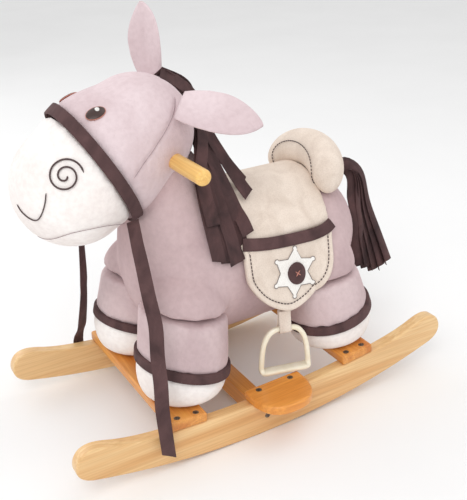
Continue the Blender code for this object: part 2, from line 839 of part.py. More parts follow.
def build_cantle():
    """A curved bolster across the back of the seat, its ends coming forward and down."""
    rings = []
    count = 21
    for k in range(count):
        t = 2 * k / (count - 1) - 1
        a = t * math.radians(78)
        x = 0.072 * math.sin(a)
        y = 0.176 - 0.052 * (1 - math.cos(a))
        z = 0.364 - 0.036 * (1 - math.cos(a))
        radius = 0.0255 * math.sqrt(max(0.03, 1 - abs(t) ** 4))
        way = Vector((0.072 * math.cos(a), -0.052 * math.sin(a), -0.036 * math.sin(a)))
        way.normalize()
        side = way.cross(Vector((0, 0, 1))).normalized()
        up = side.cross(way)
        ring = []
        for i in range(18):
            b = math.tau * i / 18
            out = side * math.cos(b) + up * math.sin(b)
            ring.append(tuple(Vector((x, y, z)) + out * radius))
        rings.append(ring)
    sub_part("saddle_cantle", *sweep(rings), "suede_cream")


# ---------------------------------------------------------------- stirrups, reins


def build_stirrup_strap(hand, frame):
    """A flat fabric loop round the stirrup's top bar, sewn behind the flap's edge."""
    half, path = 0.009, [(0.0036, 0.0305)]
    for k in range(9):
        a = math.radians(-10 - 20 * k)
        path.append((0.0072 * math.cos(a), 0.0072 * math.sin(a)))
    path += [(-0.0036, 0.0305)]
    inner = [(0.0026, 0.0305)]
    for k in range(9):
        a = math.radians(-10 - 20 * k)
        inner.append((0.0058 * math.cos(a), 0.0058 * math.sin(a)))
    inner += [(-0.0026, 0.0305)]
    outline = path + inner[::-1]
    rings = [[(x, y, z) for x, z in outline] for y in (-half, half)]
    sub_part(f"stirrup_strap_{hand}", *sweep(rings), "suede_cream", False, frame)


def stirrup_path():
    """The loop of the stirrup in its own Y-Z plane, top bar on the hinge line."""
    right = [(0.0, 0.0), (0.010, 0.0), (0.0165, -0.0015), (0.0215, -0.0070)]
    right += [(0.0262, -0.0200), (0.0305, -0.0360), (0.0345, -0.0520), (0.0365, -0.0620)]
    right += [(0.0350, -0.0672), (0.0300, -0.0690), (0.0150, -0.0690)]
    left = [(-y, z) for y, z in right[:0:-1]]
    return right + [(0.0, -0.0690)] + left


def build_stirrup(hand, frame):
    path = stirrup_path()
    count = len(path)
    rings = []
    for i, (y, z) in enumerate(path):
        ahead, behind = path[(i + 1) % count], path[i - 1]
        way = Vector((0, ahead[0] - behind[0], ahead[1] - behind[1])).normalized()
        out = way.cross(Vector((1, 0, 0)))
        tread = min(1.0, max(0.0, (-z - 0.0620) / 0.006))
        wide = 0.0036 + 0.0050 * tread
        deep = 0.0036
        ring = []
        for cx, cz in ((1, 0.6), (0.6, 1), (-0.6, 1), (-1, 0.6), (-1, -0.6), (-0.6, -1), (0.6, -1), (1, -0.6)):
            ring.append(tuple(Vector((wide * cx, y, z)) + out * (deep * cz)))
        rings.append(ring)
    sub_part(f"stirrup_{hand}", *sweep(rings, closed=True), "ivory", True, frame)


def build_stirrups():
    for side, hand in ((1, "left"), (-1, "right")):
        at = (side * STIRRUP_X, STIRRUP_Y, STIRRUP_Z)
        turn = (-LEAN, 0, -side * STIRRUP_YAW)
        frame = pivot(f"stirrup_{hand}_axis", at, turn, "ZYX", ROOT)
        build_stirrup_strap(hand, frame)
        build_stirrup(hand, frame)


def strap(path, wide, thick, facing):
    """A flat strap along a path; facing gives its outward side at each point."""
    rings = []
    count = len(path)
    for i in range(count):
        p = Vector(path[i])
        way = Vector(path[min(i + 1, count - 1)]) - Vector(path[max(i - 1, 0)])
        way.normalize()
        out = Vector(facing[i])
        out = (out - way * out.dot(way)).normalized()
        across = way.cross(out)
        ring = []
        for cx, cz in ((-1, 0), (1, 0), (1, 1), (-1, 1)):
            ring.append(tuple(p + across * (wide / 2 * cx) + out * (thick * cz)))
        rings.append(ring)
    return sweep(rings)


def build_reins():
    left = [(0.070, -0.157, 0.334), (0.084, -0.161, 0.318), (0.0985, -0.164, 0.298)]
    left += [(0.118, -0.168, 0.262), (0.134, -0.170, 0.226), (0.1475, -0.178, 0.190)]
    left += [(0.1565, -0.182, 0.153), (0.160, -0.1855, 0.118), (0.161, -0.1855, 0.081)]
    left += [(0.163, -0.1855, 0.042)]
    out = [(0.6, -0.7, 0.1), (0.7, -0.6, 0.2), (0.8, -0.5, 0.1), (0.85, -0.4, 0.1)]
    out += [(0.9, -0.3, 0.0)] * 3 + [(1, -0.15, 0)] * 3
    sub_part("rein_left", *sweep_of(left, out), "suede_brown", False)
    right = [(-0.050, -0.190, 0.318), (-0.058, -0.192, 0.262), (-0.073, -0.191, 0.218)]
    right += [(-0.094, -0.190, 0.172), (-0.114, -0.191, 0.128), (-0.128, -0.191, 0.104)]
    right += [(-0.145, -0.192, 0.084), (-0.155, -0.193, 0.064), (-0.157, -0.194, 0.030)]
    out = [(-0.6, -0.8, 0.1)] * 3 + [(-0.8, -0.6, 0.1)] * 3 + [(-1, -0.2, 0)] * 3
    sub_part("rein_right", *sweep_of(right, out), "suede_brown", False)


def sweep_of(path, facing):
    return strap(path, 0.019, 0.0016, facing)


def build_toy():
    rockers = build_rockers()
    boards = build_foot_boards()
    rests = build_footrests()
    rail = build_rail()
    build_screws(rockers, boards, rests, rail)
    for obj in list(rockers.values()):
        soften(obj, 0.0025, 1)
    posts = build_posts()
    _, pocket = build_seat_board()
    neck, neck_bore = build_neck_post()
    handle_bore = build_handle(neck)
    build_torso([*posts.values(), pocket, neck_bore])
    build_head([neck_bore, handle_bore])
    build_noseband()
    build_limbs(posts)
    build_ears()
    build_mane()
    build_tail()
    build_seat()
    build_flaps()
    build_cantle()
    build_stirrups()
    build_reins()


clear_scene()
TOY = new_collection("plush_rocking_donkey")
CUTTERS = new_collection("cutters")
CENTRE_Z = ROCK_RADIUS * math.cos(ROCKER_FACET / ROCK_RADIUS / 2)
STAND = pivot("rest_lean_centre", (0, CENTRE_SHIFT, CENTRE_Z), (LEAN, 0, 0))
ROOT = pivot("rest_lean", (0, 0, -ROCK_RADIUS), parent=STAND)
BOARD_FRAMES = {
    end: pivot(
        f"{word}_board_seat", (0, end * BOARD_Y, BOARD_SEAT_Z), (end * BOARD_TILT, 0, 0), parent=ROOT
    )
    for end, word in ((-1, "front"), (1, "rear"))
}
build_toy()
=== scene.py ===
# %% [markdown]
# # A plush rocking donkey
#
# The toy is a stuffed donkey with a suede saddle, standing on two curved wooden
# rockers. This script dresses the measured frame: every hard or stuffed solid of
# the frame is either given a worked finish or is replaced by a detailed piece which
# sits in the same place.

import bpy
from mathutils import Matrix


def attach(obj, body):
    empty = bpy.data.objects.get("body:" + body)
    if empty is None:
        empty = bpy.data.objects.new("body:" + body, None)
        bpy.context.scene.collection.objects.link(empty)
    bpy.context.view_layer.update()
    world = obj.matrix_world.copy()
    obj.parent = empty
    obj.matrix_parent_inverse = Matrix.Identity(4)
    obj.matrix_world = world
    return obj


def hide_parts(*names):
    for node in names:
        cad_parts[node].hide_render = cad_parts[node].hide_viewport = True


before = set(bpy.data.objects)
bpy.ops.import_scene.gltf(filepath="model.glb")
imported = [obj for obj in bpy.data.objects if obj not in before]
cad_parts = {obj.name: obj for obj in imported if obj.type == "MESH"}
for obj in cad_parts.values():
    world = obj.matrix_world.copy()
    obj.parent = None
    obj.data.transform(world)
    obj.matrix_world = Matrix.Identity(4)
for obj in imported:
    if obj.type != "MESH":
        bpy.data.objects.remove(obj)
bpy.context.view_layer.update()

import math

import bmesh
import bpy
import numpy as np
from mathutils import Matrix, Vector

# %% [markdown]
# ## The bench and the resting place
#
# A maker lays the toy out level on a bench. Standing on the floor, its weight rolls
# it a little forward on its rockers. All pieces are made in bench measures and
# settled once, by moving their points, so that every finished object stays at the
# origin, unturned.

# %% Bench measures, in metres
LEAN = math.radians(1.9)  # the roll forward at rest
CENTRE_SHIFT = -0.0334  # how far the arc's centre has moved to the front
ROCK_RADIUS = 1.070  # the arc of the rockers' undersides
ROCKER_FACET = 0.0215  # the measured arc stands on a flat as long as this
CENTRE_Z = ROCK_RADIUS * math.cos(ROCKER_FACET / ROCK_RADIUS / 2)


def settle(points):
    """Bench points carried to where they are when the toy stands at rest."""
    p = np.asarray(points, float)
    y, z = p[..., 1], p[..., 2] - ROCK_RADIUS
    turned_y = y * math.cos(LEAN) - z * math.sin(LEAN) + CENTRE_SHIFT
    turned_z = y * math.sin(LEAN) + z * math.cos(LEAN) + CENTRE_Z
    return np.stack([p[..., 0], turned_y, turned_z], axis=-1)


print("bench origin stands at", settle((0, 0, 0)).round(4))

# %% [markdown]
# ## The camera
#
# A long lens stands on the toy's left, a little to the front, and looks down on its
# back. It is set down as a place and two directions on the bench, its right and its
# up, which are settled with the toy. The third direction is square to both.

# %% Place the camera
CAMERA_AT = (0.9987, -0.5118, 0.7700)
CAMERA_RIGHT = (0.50888, 0.85868, -0.06099)
CAMERA_UP = (-0.34146, 0.26638, 0.90136)
SENSOR_MM, LENS_MM, LENS_SHIFT = 36.0, 59.437, (-0.02008, -0.00899)


def place_camera():
    at = settle(CAMERA_AT)
    right = settle(np.add(CAMERA_AT, CAMERA_RIGHT)) - at
    up = settle(np.add(CAMERA_AT, CAMERA_UP)) - at
    back = np.cross(right, up)
    view = bpy.data.cameras.new("studio_camera")
    view.sensor_fit = "VERTICAL"
    view.sensor_height, view.lens = SENSOR_MM, LENS_MM
    view.shift_x, view.shift_y = LENS_SHIFT
    camera = bpy.data.objects.new("studio_camera", view)
    camera.matrix_world = Matrix(
        [[right[i], up[i], back[i], at[i]] for i in range(3)] + [[0, 0, 0, 1]]
    )
    bpy.context.scene.collection.objects.link(camera)
    bpy.context.scene.camera = camera
    return camera


camera = place_camera()
print("camera at", [round(v, 3) for v in camera.matrix_world.translation])

# %% [markdown]
# ## Finishes
#
# Each finish is a shader with its own pattern: cloudy colour from noise, then a fine
# relief. The patterns read Object coordinates, so they stay on the piece when it
# moves. Numbers which are the same all over sit on the shader's own sockets.

# %% Dyes and plain finishes
def dye(red, green, blue):
    """A colour as a dyer's swatch shows it, turned into the linear light a shader needs."""
    swatch = np.array([red, green, blue]) / 255.0
    light = np.where(swatch <= 0.04045, swatch / 12.92, ((swatch + 0.055) / 1.055) ** 2.4)
    return (*map(float, light), 1.0)


def new_finish(name, colour, rough, **sockets):
    made = bpy.data.materials.new(name)
    made.use_nodes = True
    made.diffuse_color = colour
    shader = made.node_tree.nodes["Principled BSDF"]
    shader.inputs["Base Color"].default_value = colour
    shader.inputs["Roughness"].default_value = rough
    for socket, value in sockets.items():
        shader.inputs[socket.replace("_", " ")].default_value = value
    return made


def node(made, kind, **settings):
    found = made.node_tree.nodes.new(kind)
    for name, value in settings.items():
        setattr(found, name, value)
    return found


# %% Patterns for a finish
def noise(made, scale, detail=3.0, stretch=(1, 1, 1), distortion=0.0, seed=0.0):
    """Noise over Object coordinates; stretch squeezes it along the axes."""
    tree = made.node_tree
    place = node(made, "ShaderNodeTexCoord")
    turn = node(made, "ShaderNodeMapping")
    turn.inputs["Scale"].default_value = stretch
    turn.inputs["Location"].default_value = (seed, seed * 0.7, seed * 1.3)
    cloud = node(made, "ShaderNodeTexNoise")
    cloud.inputs["Scale"].default_value = scale
    cloud.inputs["Detail"].default_value = detail
    cloud.inputs["Distortion"].default_value = distortion
    tree.links.new(place.outputs["Object"], turn.inputs["Vector"])
    tree.links.new(turn.outputs["Vector"], cloud.inputs["Vector"])
    return cloud.outputs["Fac"]


def ramp(made, value, stops):
    """Colours along a value; stops are (place, colour) pairs."""
    found = node(made, "ShaderNodeValToRGB")
    strip = found.color_ramp
    strip.elements[0].position, strip.elements[0].color = stops[0]
    strip.elements[1].position, strip.elements[1].color = stops[-1]
    for place, colour in stops[1:-1]:
        strip.elements.new(place).color = colour
    made.node_tree.links.new(value, found.inputs["Fac"])
    return found.outputs["Color"]


def blend_colours(made, kind, share, below, above):
    # A mix node keeps a number, a vector and a colour: the colours are sockets 6 and 7.
    found = node(made, "ShaderNodeMix", data_type="RGBA", blend_type=kind)
    found.inputs[0].default_value = share
    made.node_tree.links.new(below, found.inputs[6])
    made.node_tree.links.new(above, found.inputs[7])
    return found.outputs[2]


def colour_from(made, colour):
    shader = made.node_tree.nodes["Principled BSDF"]
    made.node_tree.links.new(colour, shader.inputs["Base Color"])


def relief(made, height, strength, depth, under=None):
    """A bump; under is an earlier bump which it sits on."""
    found = node(made, "ShaderNodeBump")
    found.inputs["Strength"].default_value = strength
    found.inputs["Distance"].default_value = depth
    made.node_tree.links.new(height, found.inputs["Height"])
    if under is not None:
        made.node_tree.links.new(under, found.inputs["Normal"])
    shader = made.node_tree.nodes["Principled BSDF"]
    made.node_tree.links.new(found.outputs["Normal"], shader.inputs["Normal"])
    return found.outputs["Normal"]


# %% [markdown]
# ### Lacquered wood
#
# The base is sawn from pale plywood and honey-coloured boards under clear lacquer.
# Grain is long along the board and tight across it, so the same noise is squeezed
# along one axis: wide bands for the growth rings, thin streaks for the pores.

# %% Wood finishes
def wood_finish(name, pale, deep, along, seed, coat=0.35):
    """along is the axis the grain runs on: 0, 1 or 2."""
    made = new_finish(name, pale, 0.42, Coat_Weight=coat, Coat_Roughness=0.16)
    bands = [26.0] * 3
    bands[along] = 1.6
    pores = [420.0] * 3
    pores[along] = 9.0
    rings = noise(made, 1.0, 4.0, bands, 1.1, seed)
    streaks = noise(made, 1.0, 2.0, pores, 0.0, seed + 3)
    cloud = noise(made, 7.0, 2.0, seed=seed + 5)
    middle = tuple((a + b) / 2 for a, b in zip(pale, deep))
    broad = ramp(made, rings, [(0.30, pale), (0.47, middle), (0.52, pale), (0.72, deep)])
    fine = ramp(made, streaks, [(0.35, (0.80, 0.72, 0.62, 1)), (0.60, (1, 1, 1, 1))])
    patch = ramp(made, cloud, [(0.30, (0.90, 0.88, 0.84, 1)), (0.70, (1, 1, 1, 1))])
    colour = blend_colours(made, "MULTIPLY", 0.55, broad, fine)
    colour_from(made, blend_colours(made, "MULTIPLY", 0.7, colour, patch))
    relief(made, streaks, 0.25, 0.0003)
    return made


rocker_wood = wood_finish("birch_rocker", dye(242, 205, 150), dye(224, 170, 108), 1, 1.0)
board_wood = wood_finish("honey_board", dye(236, 164, 78), dye(206, 124, 46), 0, 2.0)
rest_wood = wood_finish("honey_footrest", dye(240, 162, 70), dye(214, 126, 40), 1, 4.0)
dowel_wood = wood_finish("honey_dowel", dye(252, 210, 128), dye(236, 178, 88), 0, 6.0)
hidden_wood = wood_finish("plain_pine", dye(214, 178, 128), dye(186, 142, 92), 2, 8.0, 0.0)
print("woods:", [m.name for m in bpy.data.materials if m.name.startswith(("birch", "honey"))])

# %% [markdown]
# ### Short plush
#
# The coat is a knitted plush with a pile of about 2 mm, brushed one way and then
# the other, so it looks cloudy. Hair by hair it would be millions of strands; from
# an arm's length it reads as soft mottling, a rough relief and a pale sheen where
# the pile is seen from the side.

# %% Plush finishes
def plush_finish(name, shade, light, seed, sheen=0.35):
    made = new_finish(name, light, 0.95, Sheen_Weight=sheen, Sheen_Roughness=0.45)
    made.node_tree.nodes["Principled BSDF"].inputs["Sheen Tint"].default_value = light
    nap = noise(made, 13.0, 3.0, (1, 1, 0.8), 0.5, seed)
    tufts = noise(made, 150.0, 3.0, seed=seed + 2)
    pile = noise(made, 420.0, 2.0, seed=seed + 4)
    brushed = ramp(made, nap, [(0.36, shade), (0.66, light)])
    spots = ramp(made, tufts, [(0.32, (0.88, 0.86, 0.86, 1)), (0.62, (1, 1, 1, 1))])
    colour_from(made, blend_colours(made, "MULTIPLY", 0.55, brushed, spots))
    under = relief(made, tufts, 0.35, 0.0012)
    relief(made, pile, 0.55, 0.0007, under)
    return made


plush_body = plush_finish("mauve_plush_body", dye(189, 164, 166), dye(206, 182, 183), 1.0)
plush_head = plush_finish("mauve_plush_head", dye(209, 188, 191), dye(224, 206, 209), 5.0)
plush_leg = plush_finish("mauve_plush_leg", dye(198, 175, 177), dye(215, 194, 195), 9.0)
plush_white = plush_finish("cream_plush", dye(244, 236, 232), dye(253, 249, 246), 3.0, 0.2)
print("plushes:", [m.name for m in bpy.data.materials if "plush" in m.name])

# %% [markdown]
# ### Suede cloth, thread, plastic and steel
#
# Suede cloth is almost flat: a fine even nap with slow darker clouds where it has
# been stroked. Thread has a slight gloss; the stirrups are moulded plastic with a
# soft shine; the screws are dark plated steel.

# %% Suede, thread, plastic and steel
def suede_finish(name, shade, light, seed, sheen=0.25):
    made = new_finish(name, light, 0.88, Sheen_Weight=sheen, Sheen_Roughness=0.4)
    made.node_tree.nodes["Principled BSDF"].inputs["Sheen Tint"].default_value = light
    stroke = noise(made, 34.0, 3.0, (1, 1, 0.6), 0.8, seed)
    nap = noise(made, 620.0, 3.0, seed=seed + 1)
    cloud = ramp(made, stroke, [(0.30, shade), (0.68, light)])
    speck = ramp(made, nap, [(0.30, (0.84, 0.82, 0.80, 1)), (0.62, (1, 1, 1, 1))])
    colour_from(made, blend_colours(made, "MULTIPLY", 0.7, cloud, speck))
    relief(made, nap, 0.35, 0.0004)
    return made


def thread_finish(name, colour, rough=0.6):
    made = new_finish(name, colour, rough, Sheen_Weight=0.2)
    strands = noise(made, 1300.0, 1.0, (1, 0.3, 0.3))
    tone = tuple(c * 0.7 for c in colour[:3]) + (1.0,)
    colour_from(made, ramp(made, strands, [(0.35, tone), (0.65, colour)]))
    relief(made, strands, 0.5, 0.0002)
    return made


suede_brown = suede_finish("brown_suede", dye(66, 44, 45), dye(96, 68, 68), 1.0, 0.15)
suede_hair = suede_finish("brown_suede_hair", dye(54, 36, 37), dye(90, 62, 62), 4.0, 0.12)
suede_cream = suede_finish("cream_suede", dye(220, 204, 190), dye(236, 222, 209), 2.0)
suede_white = suede_finish("white_suede", dye(242, 238, 232), dye(250, 248, 245), 6.0, 0.1)
thread_dark = thread_finish("dark_thread", dye(74, 50, 50))
thread_pink = thread_finish("rose_thread", dye(196, 128, 112))
thread_grey = thread_finish("grey_thread", dye(128, 116, 112))
thread_seam = thread_finish("mauve_seam_thread", dye(166, 142, 146))
eye_satin = thread_finish("eye_satin", dye(62, 38, 32), 0.34)
eye_white = thread_finish("eye_highlight", dye(248, 246, 242), 0.4)
plastic = new_finish("ivory_plastic", dye(244, 236, 212), 0.32, Coat_Weight=0.2)
mould = noise(plastic, 60.0, 2.0, seed=2.0)
colour_from(plastic, ramp(plastic, mould, [(0.3, dye(238, 228, 202)), (0.7, dye(247, 240, 220))]))
relief(plastic, noise(plastic, 900.0, 2.0), 0.12, 0.0002)
steel = new_finish("dark_screw_steel", dye(92, 84, 76), 0.38, Metallic=0.9)
brushed = noise(steel, 700.0, 2.0, (1, 1, 0.2))
colour_from(steel, ramp(steel, brushed, [(0.3, dye(86, 80, 74)), (0.7, dye(150, 142, 132))]))
relief(steel, brushed, 0.2, 0.0001)
print("finishes:", len(bpy.data.materials))

# %% [markdown]
# ## Making a piece
#
# Every piece is a list of points and faces on the bench. One helper turns it into
# an object: it settles the points, makes the faces look outward, gives the finish,
# hides the frame's solid that the piece stands for, and lets it ride on its body.

# %% Points to a finished object
def mesh_of(name, points, faces):
    mesh = bpy.data.meshes.new(name)
    mesh.from_pydata([tuple(map(float, p)) for p in points], [], [list(map(int, f)) for f in faces])
    facing = bmesh.new()
    facing.from_mesh(mesh)
    bmesh.ops.recalc_face_normals(facing, faces=facing.faces)
    facing.to_mesh(mesh)
    facing.free()
    return mesh


def link(name, mesh):
    made = bpy.data.objects.new(name, mesh)
    bpy.context.scene.collection.objects.link(made)
    return made


def dressed(obj, finish, slot, nodes=(), body="toy", smooth=True):
    """The last step for every piece: its finish, what it stands for and what it rides on."""
    if smooth:
        obj.data.polygons.foreach_set("use_smooth", [True] * len(obj.data.polygons))
    obj.data.materials.clear()
    obj.data.materials.append(finish)
    if nodes:
        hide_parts(*nodes)
    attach(obj, body)
    return obj


def piece(name, points, faces, finish, slot, nodes=(), body="toy", smooth=True, at_rest=settle):
    obj = link(name, mesh_of(name, at_rest(points), faces))
    return dressed(obj, finish, slot, nodes, body, smooth)


def with_modifiers(obj):
    """Replaces the object's mesh with what its modifiers make of it."""
    graph = bpy.context.evaluated_depsgraph_get()
    made = bpy.data.meshes.new_from_object(obj.evaluated_get(graph))
    obj.modifiers.clear()
    obj.data = made
    return obj


# %% Skins from rings, and smooth lines
def skin(rings, closed=False):
    """Faces round a row of equal rings, with flat ends or closed on itself."""
    count, size = len(rings), len(rings[0])
    points = [p for ring in rings for p in ring]
    faces = []
    for r in range(count if closed else count - 1):
        a, b = r * size, ((r + 1) % count) * size
        for i in range(size):
            j = (i + 1) % size
            faces.append([a + i, a + j, b + j, b + i])
    if not closed:
        faces.append(list(range(size))[::-1])
        faces.append(list(range((count - 1) * size, count * size)))
    return points, faces


def put_together(parts):
    """Several (points, faces) as one."""
    points, faces = [], []
    for more_points, more_faces in parts:
        offset = len(points)
        points += [tuple(p) for p in more_points]
        faces += [[i + offset for i in f] for f in more_faces]
    return points, faces


def smooth_route(points, count, closed=False):
    """A smooth curve through the points, cut into even steps."""
    p = np.asarray(points, float)
    n = len(p)
    ext = (lambda i: p[i % n]) if closed else (lambda i: p[min(max(i, 0), n - 1)])
    found = []
    for i in range(n if closed else n - 1):
        a, b, c, d = ext(i - 1), ext(i), ext(i + 1), ext(i + 2)
        for t in np.linspace(0, 1, 24, endpoint=False):
            found.append(
                0.5 * (2 * b + (c - a) * t + (2 * a - 5 * b + 4 * c - d) * t ** 2
                       + (3 * b - a - 3 * c + d) * t ** 3)
            )
    found.append(p[0] if closed else p[-1])
    found = np.array(found)
    along = np.concatenate([[0], np.cumsum(np.linalg.norm(np.diff(found, axis=0), axis=1))])
    marks = np.linspace(0, along[-1], count + 1 if closed else count)
    found = np.stack([np.interp(marks, along, found[:, k]) for k in range(p.shape[1])], axis=1)
    return found[:-1] if closed else found


def unit(v):
    v = np.asarray(v, float)
    return v / np.linalg.norm(v, axis=-1, keepdims=True)


# %% [markdown]
# ## The reins
#
# Two flat suede straps, 19 mm wide, hang free from under the noseband: the left one
# down past the front left hoof, the right one down the other side. Each ends in a
# plain slanted cut with no buckle. A strap is a flat cord, so each is swept along
# its route with thin rounded edges and a slight cup across its width.

# %% Cut a flat strap
REIN_WIDE, REIN_THICK = 0.019, 0.0016


def flat_strap(route, facing, wide, thick, cup=0.0, slant=0.0):
    """Rings of a flat strap with rounded edges; facing is its outer side at each point."""
    route, facing = np.asarray(route, float), np.asarray(facing, float)
    ways = unit(np.gradient(route, axis=0))
    outs = unit(facing - ways * (facing * ways).sum(axis=1, keepdims=True))
    sides = np.cross(ways, outs)
    half = thick / 2
    across = [-1.0, -0.985, -0.9, -0.45, 0.0, 0.45, 0.9, 0.985, 1.0]
    rings = []
    for i, (p, way, out, side) in enumerate(zip(route, ways, outs, sides)):
        ring = []
        for row, sign in ((across, 1), (across[::-1], -1)):
            for x in row:
                edge = 0.35 if abs(x) > 0.99 else 0.8 if abs(x) > 0.95 else 1.0
                lift = half * sign * edge + cup * (x * x - 0.4)
                skew = way * (slant * x * wide / 2 if i == len(route) - 1 else 0.0)
                ring.append(p + side * (x * wide / 2) + out * (lift + half) + skew)
        rings.append(ring)
    return rings


# %% Hang the reins
left_rein_route = [(0.062, -0.155, 0.345),
                   (0.070, -0.157, 0.334), (0.084, -0.161, 0.318), (0.0985, -0.164, 0.298),
                   (0.118, -0.168, 0.262), (0.134, -0.170, 0.226), (0.1475, -0.178, 0.190),
                   (0.1565, -0.182, 0.153), (0.160, -0.1855, 0.118), (0.161, -0.1855, 0.081),
                   (0.163, -0.1855, 0.042)]
left_rein_faces = [(0.6, -0.7, 0.1)] * 2 + [(0.7, -0.6, 0.2), (0.8, -0.5, 0.1), (0.85, -0.4, 0.1)]
left_rein_faces += [(0.9, -0.3, 0.0)] * 3 + [(1, -0.15, 0)] * 3
right_rein_route = [(-0.050, -0.190, 0.318), (-0.058, -0.192, 0.262), (-0.073, -0.191, 0.218),
                    (-0.094, -0.190, 0.172), (-0.114, -0.191, 0.128), (-0.128, -0.191, 0.104),
                    (-0.145, -0.192, 0.084), (-0.155, -0.193, 0.064), (-0.157, -0.194, 0.030)]
right_rein_faces = [(-0.6, -0.8, 0.1)] * 3 + [(-0.8, -0.6, 0.1)] * 3 + [(-1, -0.2, 0)] * 3


def hang_rein(name, node_name, route, facing, slant):
    line = smooth_route(route, 34)
    faces_out = smooth_route(facing, 34)
    rings = flat_strap(line, faces_out, REIN_WIDE, REIN_THICK, 0.0006, slant)
    obj = piece(name, *skin(rings), suede_brown, "suede_brown", [node_name])
    path = settle(line)
    return obj


hang_rein("left_rein", "rein_left", left_rein_route, left_rein_faces, -0.55)
hang_rein("right_rein", "rein_right", right_rein_route, right_rein_faces, 0.3)

# %% [markdown]
# ## The wooden base
#
# Two rockers, two cross boards for the feet, two half-round footrests and a rail
# between. Each is a flat board sawn to an outline, so an outline is pushed into a
# plate, its edges are rounded over with a bevel, and shallow pockets are sunk where
# the screws go. A bevel that is cut into the mesh keeps the long arc smooth.

# %% Saw, round over and sink a board
def board(name, outline, low, high, axis, finish, slot, nodes, round_over, pockets=(), hold=None):
    """A plate with its outline in the other two axes; pockets are (centre, way) pairs."""
    hold = hold or (lambda p: p)
    sawn = bmesh.new()
    place = (lambda u, v, w: (w, u, v)) if axis == 0 else (lambda u, v, w: (u, v, w))
    lows = [sawn.verts.new(place(u, v, low)) for u, v in outline]
    highs = [sawn.verts.new(place(u, v, high)) for u, v in outline]
    sawn.faces.new(lows[::-1])
    sawn.faces.new(highs)
    for i in range(len(lows)):
        j = (i + 1) % len(lows)
        sawn.faces.new([lows[i], lows[j], highs[j], highs[i]])
    bmesh.ops.recalc_face_normals(sawn, faces=sawn.faces)
    sharp = [e for e in sawn.edges if e.calc_face_angle(0) > math.radians(28)]
    bmesh.ops.bevel(sawn, geom=sharp, offset=round_over, segments=4, profile=0.5,
                    affect="EDGES", clamp_overlap=True)
    mesh = bpy.data.meshes.new(name)
    sawn.to_mesh(mesh)
    sawn.free()
    points = np.array([v.co for v in mesh.vertices])
    mesh.vertices.foreach_set("co", settle(hold(points)).astype(np.float32).ravel())
    obj = link(name, mesh)
    if pockets:
        tool = pocket_tool(name, pockets)
        sink = obj.modifiers.new("screw_pockets", "BOOLEAN")
        sink.operation, sink.solver, sink.object = "DIFFERENCE", "EXACT", tool
        with_modifiers(obj)
        bpy.data.objects.remove(tool, do_unlink=True)
    obj.data.polygons.foreach_set("use_smooth", [True] * len(obj.data.polygons))
    obj.data.set_sharp_from_angle(angle=math.radians(50))
    flat = obj.modifiers.new("even_shading", "WEIGHTED_NORMAL")
    flat.keep_sharp = True
    with_modifiers(obj)
    return dressed(obj, finish, slot, nodes, smooth=False)


def pocket_tool(name, pockets):
    """Countersinks as one cutting tool: a short wide cone for each screw."""
    tool = bmesh.new()
    for centre, way in pockets:
        turn = Vector((0, 0, 1)).rotation_difference(Vector(way)).to_matrix().to_4x4()
        put = Matrix.Translation(Vector(centre)) @ turn
        bmesh.ops.create_cone(tool, cap_ends=True, segments=24, radius1=0.0040,
                              radius2=0.0056, depth=0.0036, matrix=put)
    mesh = bpy.data.meshes.new(f"{name}_pockets")
    tool.to_mesh(mesh)
    tool.free()
    return link(f"{name}_pockets", mesh)


# %% [markdown]
# ### Rockers
#
# A rocker is sawn from thick plywood: an arc below, a raised round tip at each end
# and flat seats on top for the boards. One half of the upper line is drawn and
# mirrored. The outer faces of the two rockers are 300 mm apart.

# %% Measures of the base
ROCKER_OUTER, ROCKER_THICK, ROCKER_TIP = 0.150, 0.020, 0.289
BOARD_Y, BOARD_WIDE, BOARD_THICK = 0.145, 0.056, 0.0145
BOARD_TILT = math.radians(4.6)
BOARD_SEAT_Z, REST_SEAT_Z, REST_THICK = 0.0622, 0.0560, 0.0145
REST_HALF, REST_REACH = 0.046, 0.199
RAIL_Y, RAIL_WIDE, RAIL_Z = -0.020, 0.026, (0.014, 0.044)
GAP = 0.0003  # left between touching pieces
SCREW_X, BOARD_SCREW_OFF, REST_SCREW_Y = 0.140, 0.0145, 0.027


# %% The outline of a rocker
def rocker_outline():
    """The arc it rocks on, the raised tips and the seats for the boards."""
    arc = [(y, ROCK_RADIUS - math.sqrt(ROCK_RADIUS ** 2 - y * y))
           for y in np.linspace(-ROCKER_TIP, ROCKER_TIP, 121)]
    tip = [arc[-1], (0.2985, 0.0445), (0.3060, 0.0520), (0.3090, 0.0620), (0.3070, 0.0730)]
    tip += [(0.3010, 0.0820), (0.2920, 0.0870), (0.2800, 0.0880), (0.2660, 0.0850)]
    tip += [(0.2500, 0.0795), (0.2320, 0.0745), (0.2100, 0.0700)]
    half = BOARD_WIDE / 2 * math.cos(BOARD_TILT)
    rise = BOARD_WIDE / 2 * math.sin(BOARD_TILT)
    tip += [(BOARD_Y + half + 0.003, BOARD_SEAT_Z + rise + 0.00024)]
    tip = [tuple(p) for p in smooth_route(tip, 60)][1:]
    tip += [(BOARD_Y - half - 0.003, BOARD_SEAT_Z - rise - 0.00024)]
    tip += [(0.085, 0.0574), (REST_HALF + 0.002, REST_SEAT_Z)]
    return arc + tip + [(-y, z) for y, z in reversed(tip)]


def settled_way(way):
    """A direction turned with the toy's rest lean."""
    return tuple(settle(way) - settle((0, 0, 0)))


def board_place(end):
    """Where a foot board lies: a function from the board's own measures to the bench."""
    tilt = end * BOARD_TILT

    def hold(p):
        p = np.asarray(p, float)
        y = p[..., 1] * math.cos(tilt) - p[..., 2] * math.sin(tilt) + end * BOARD_Y
        z = p[..., 1] * math.sin(tilt) + p[..., 2] * math.cos(tilt) + BOARD_SEAT_Z
        return np.stack([p[..., 0], y, z], axis=-1)

    return hold


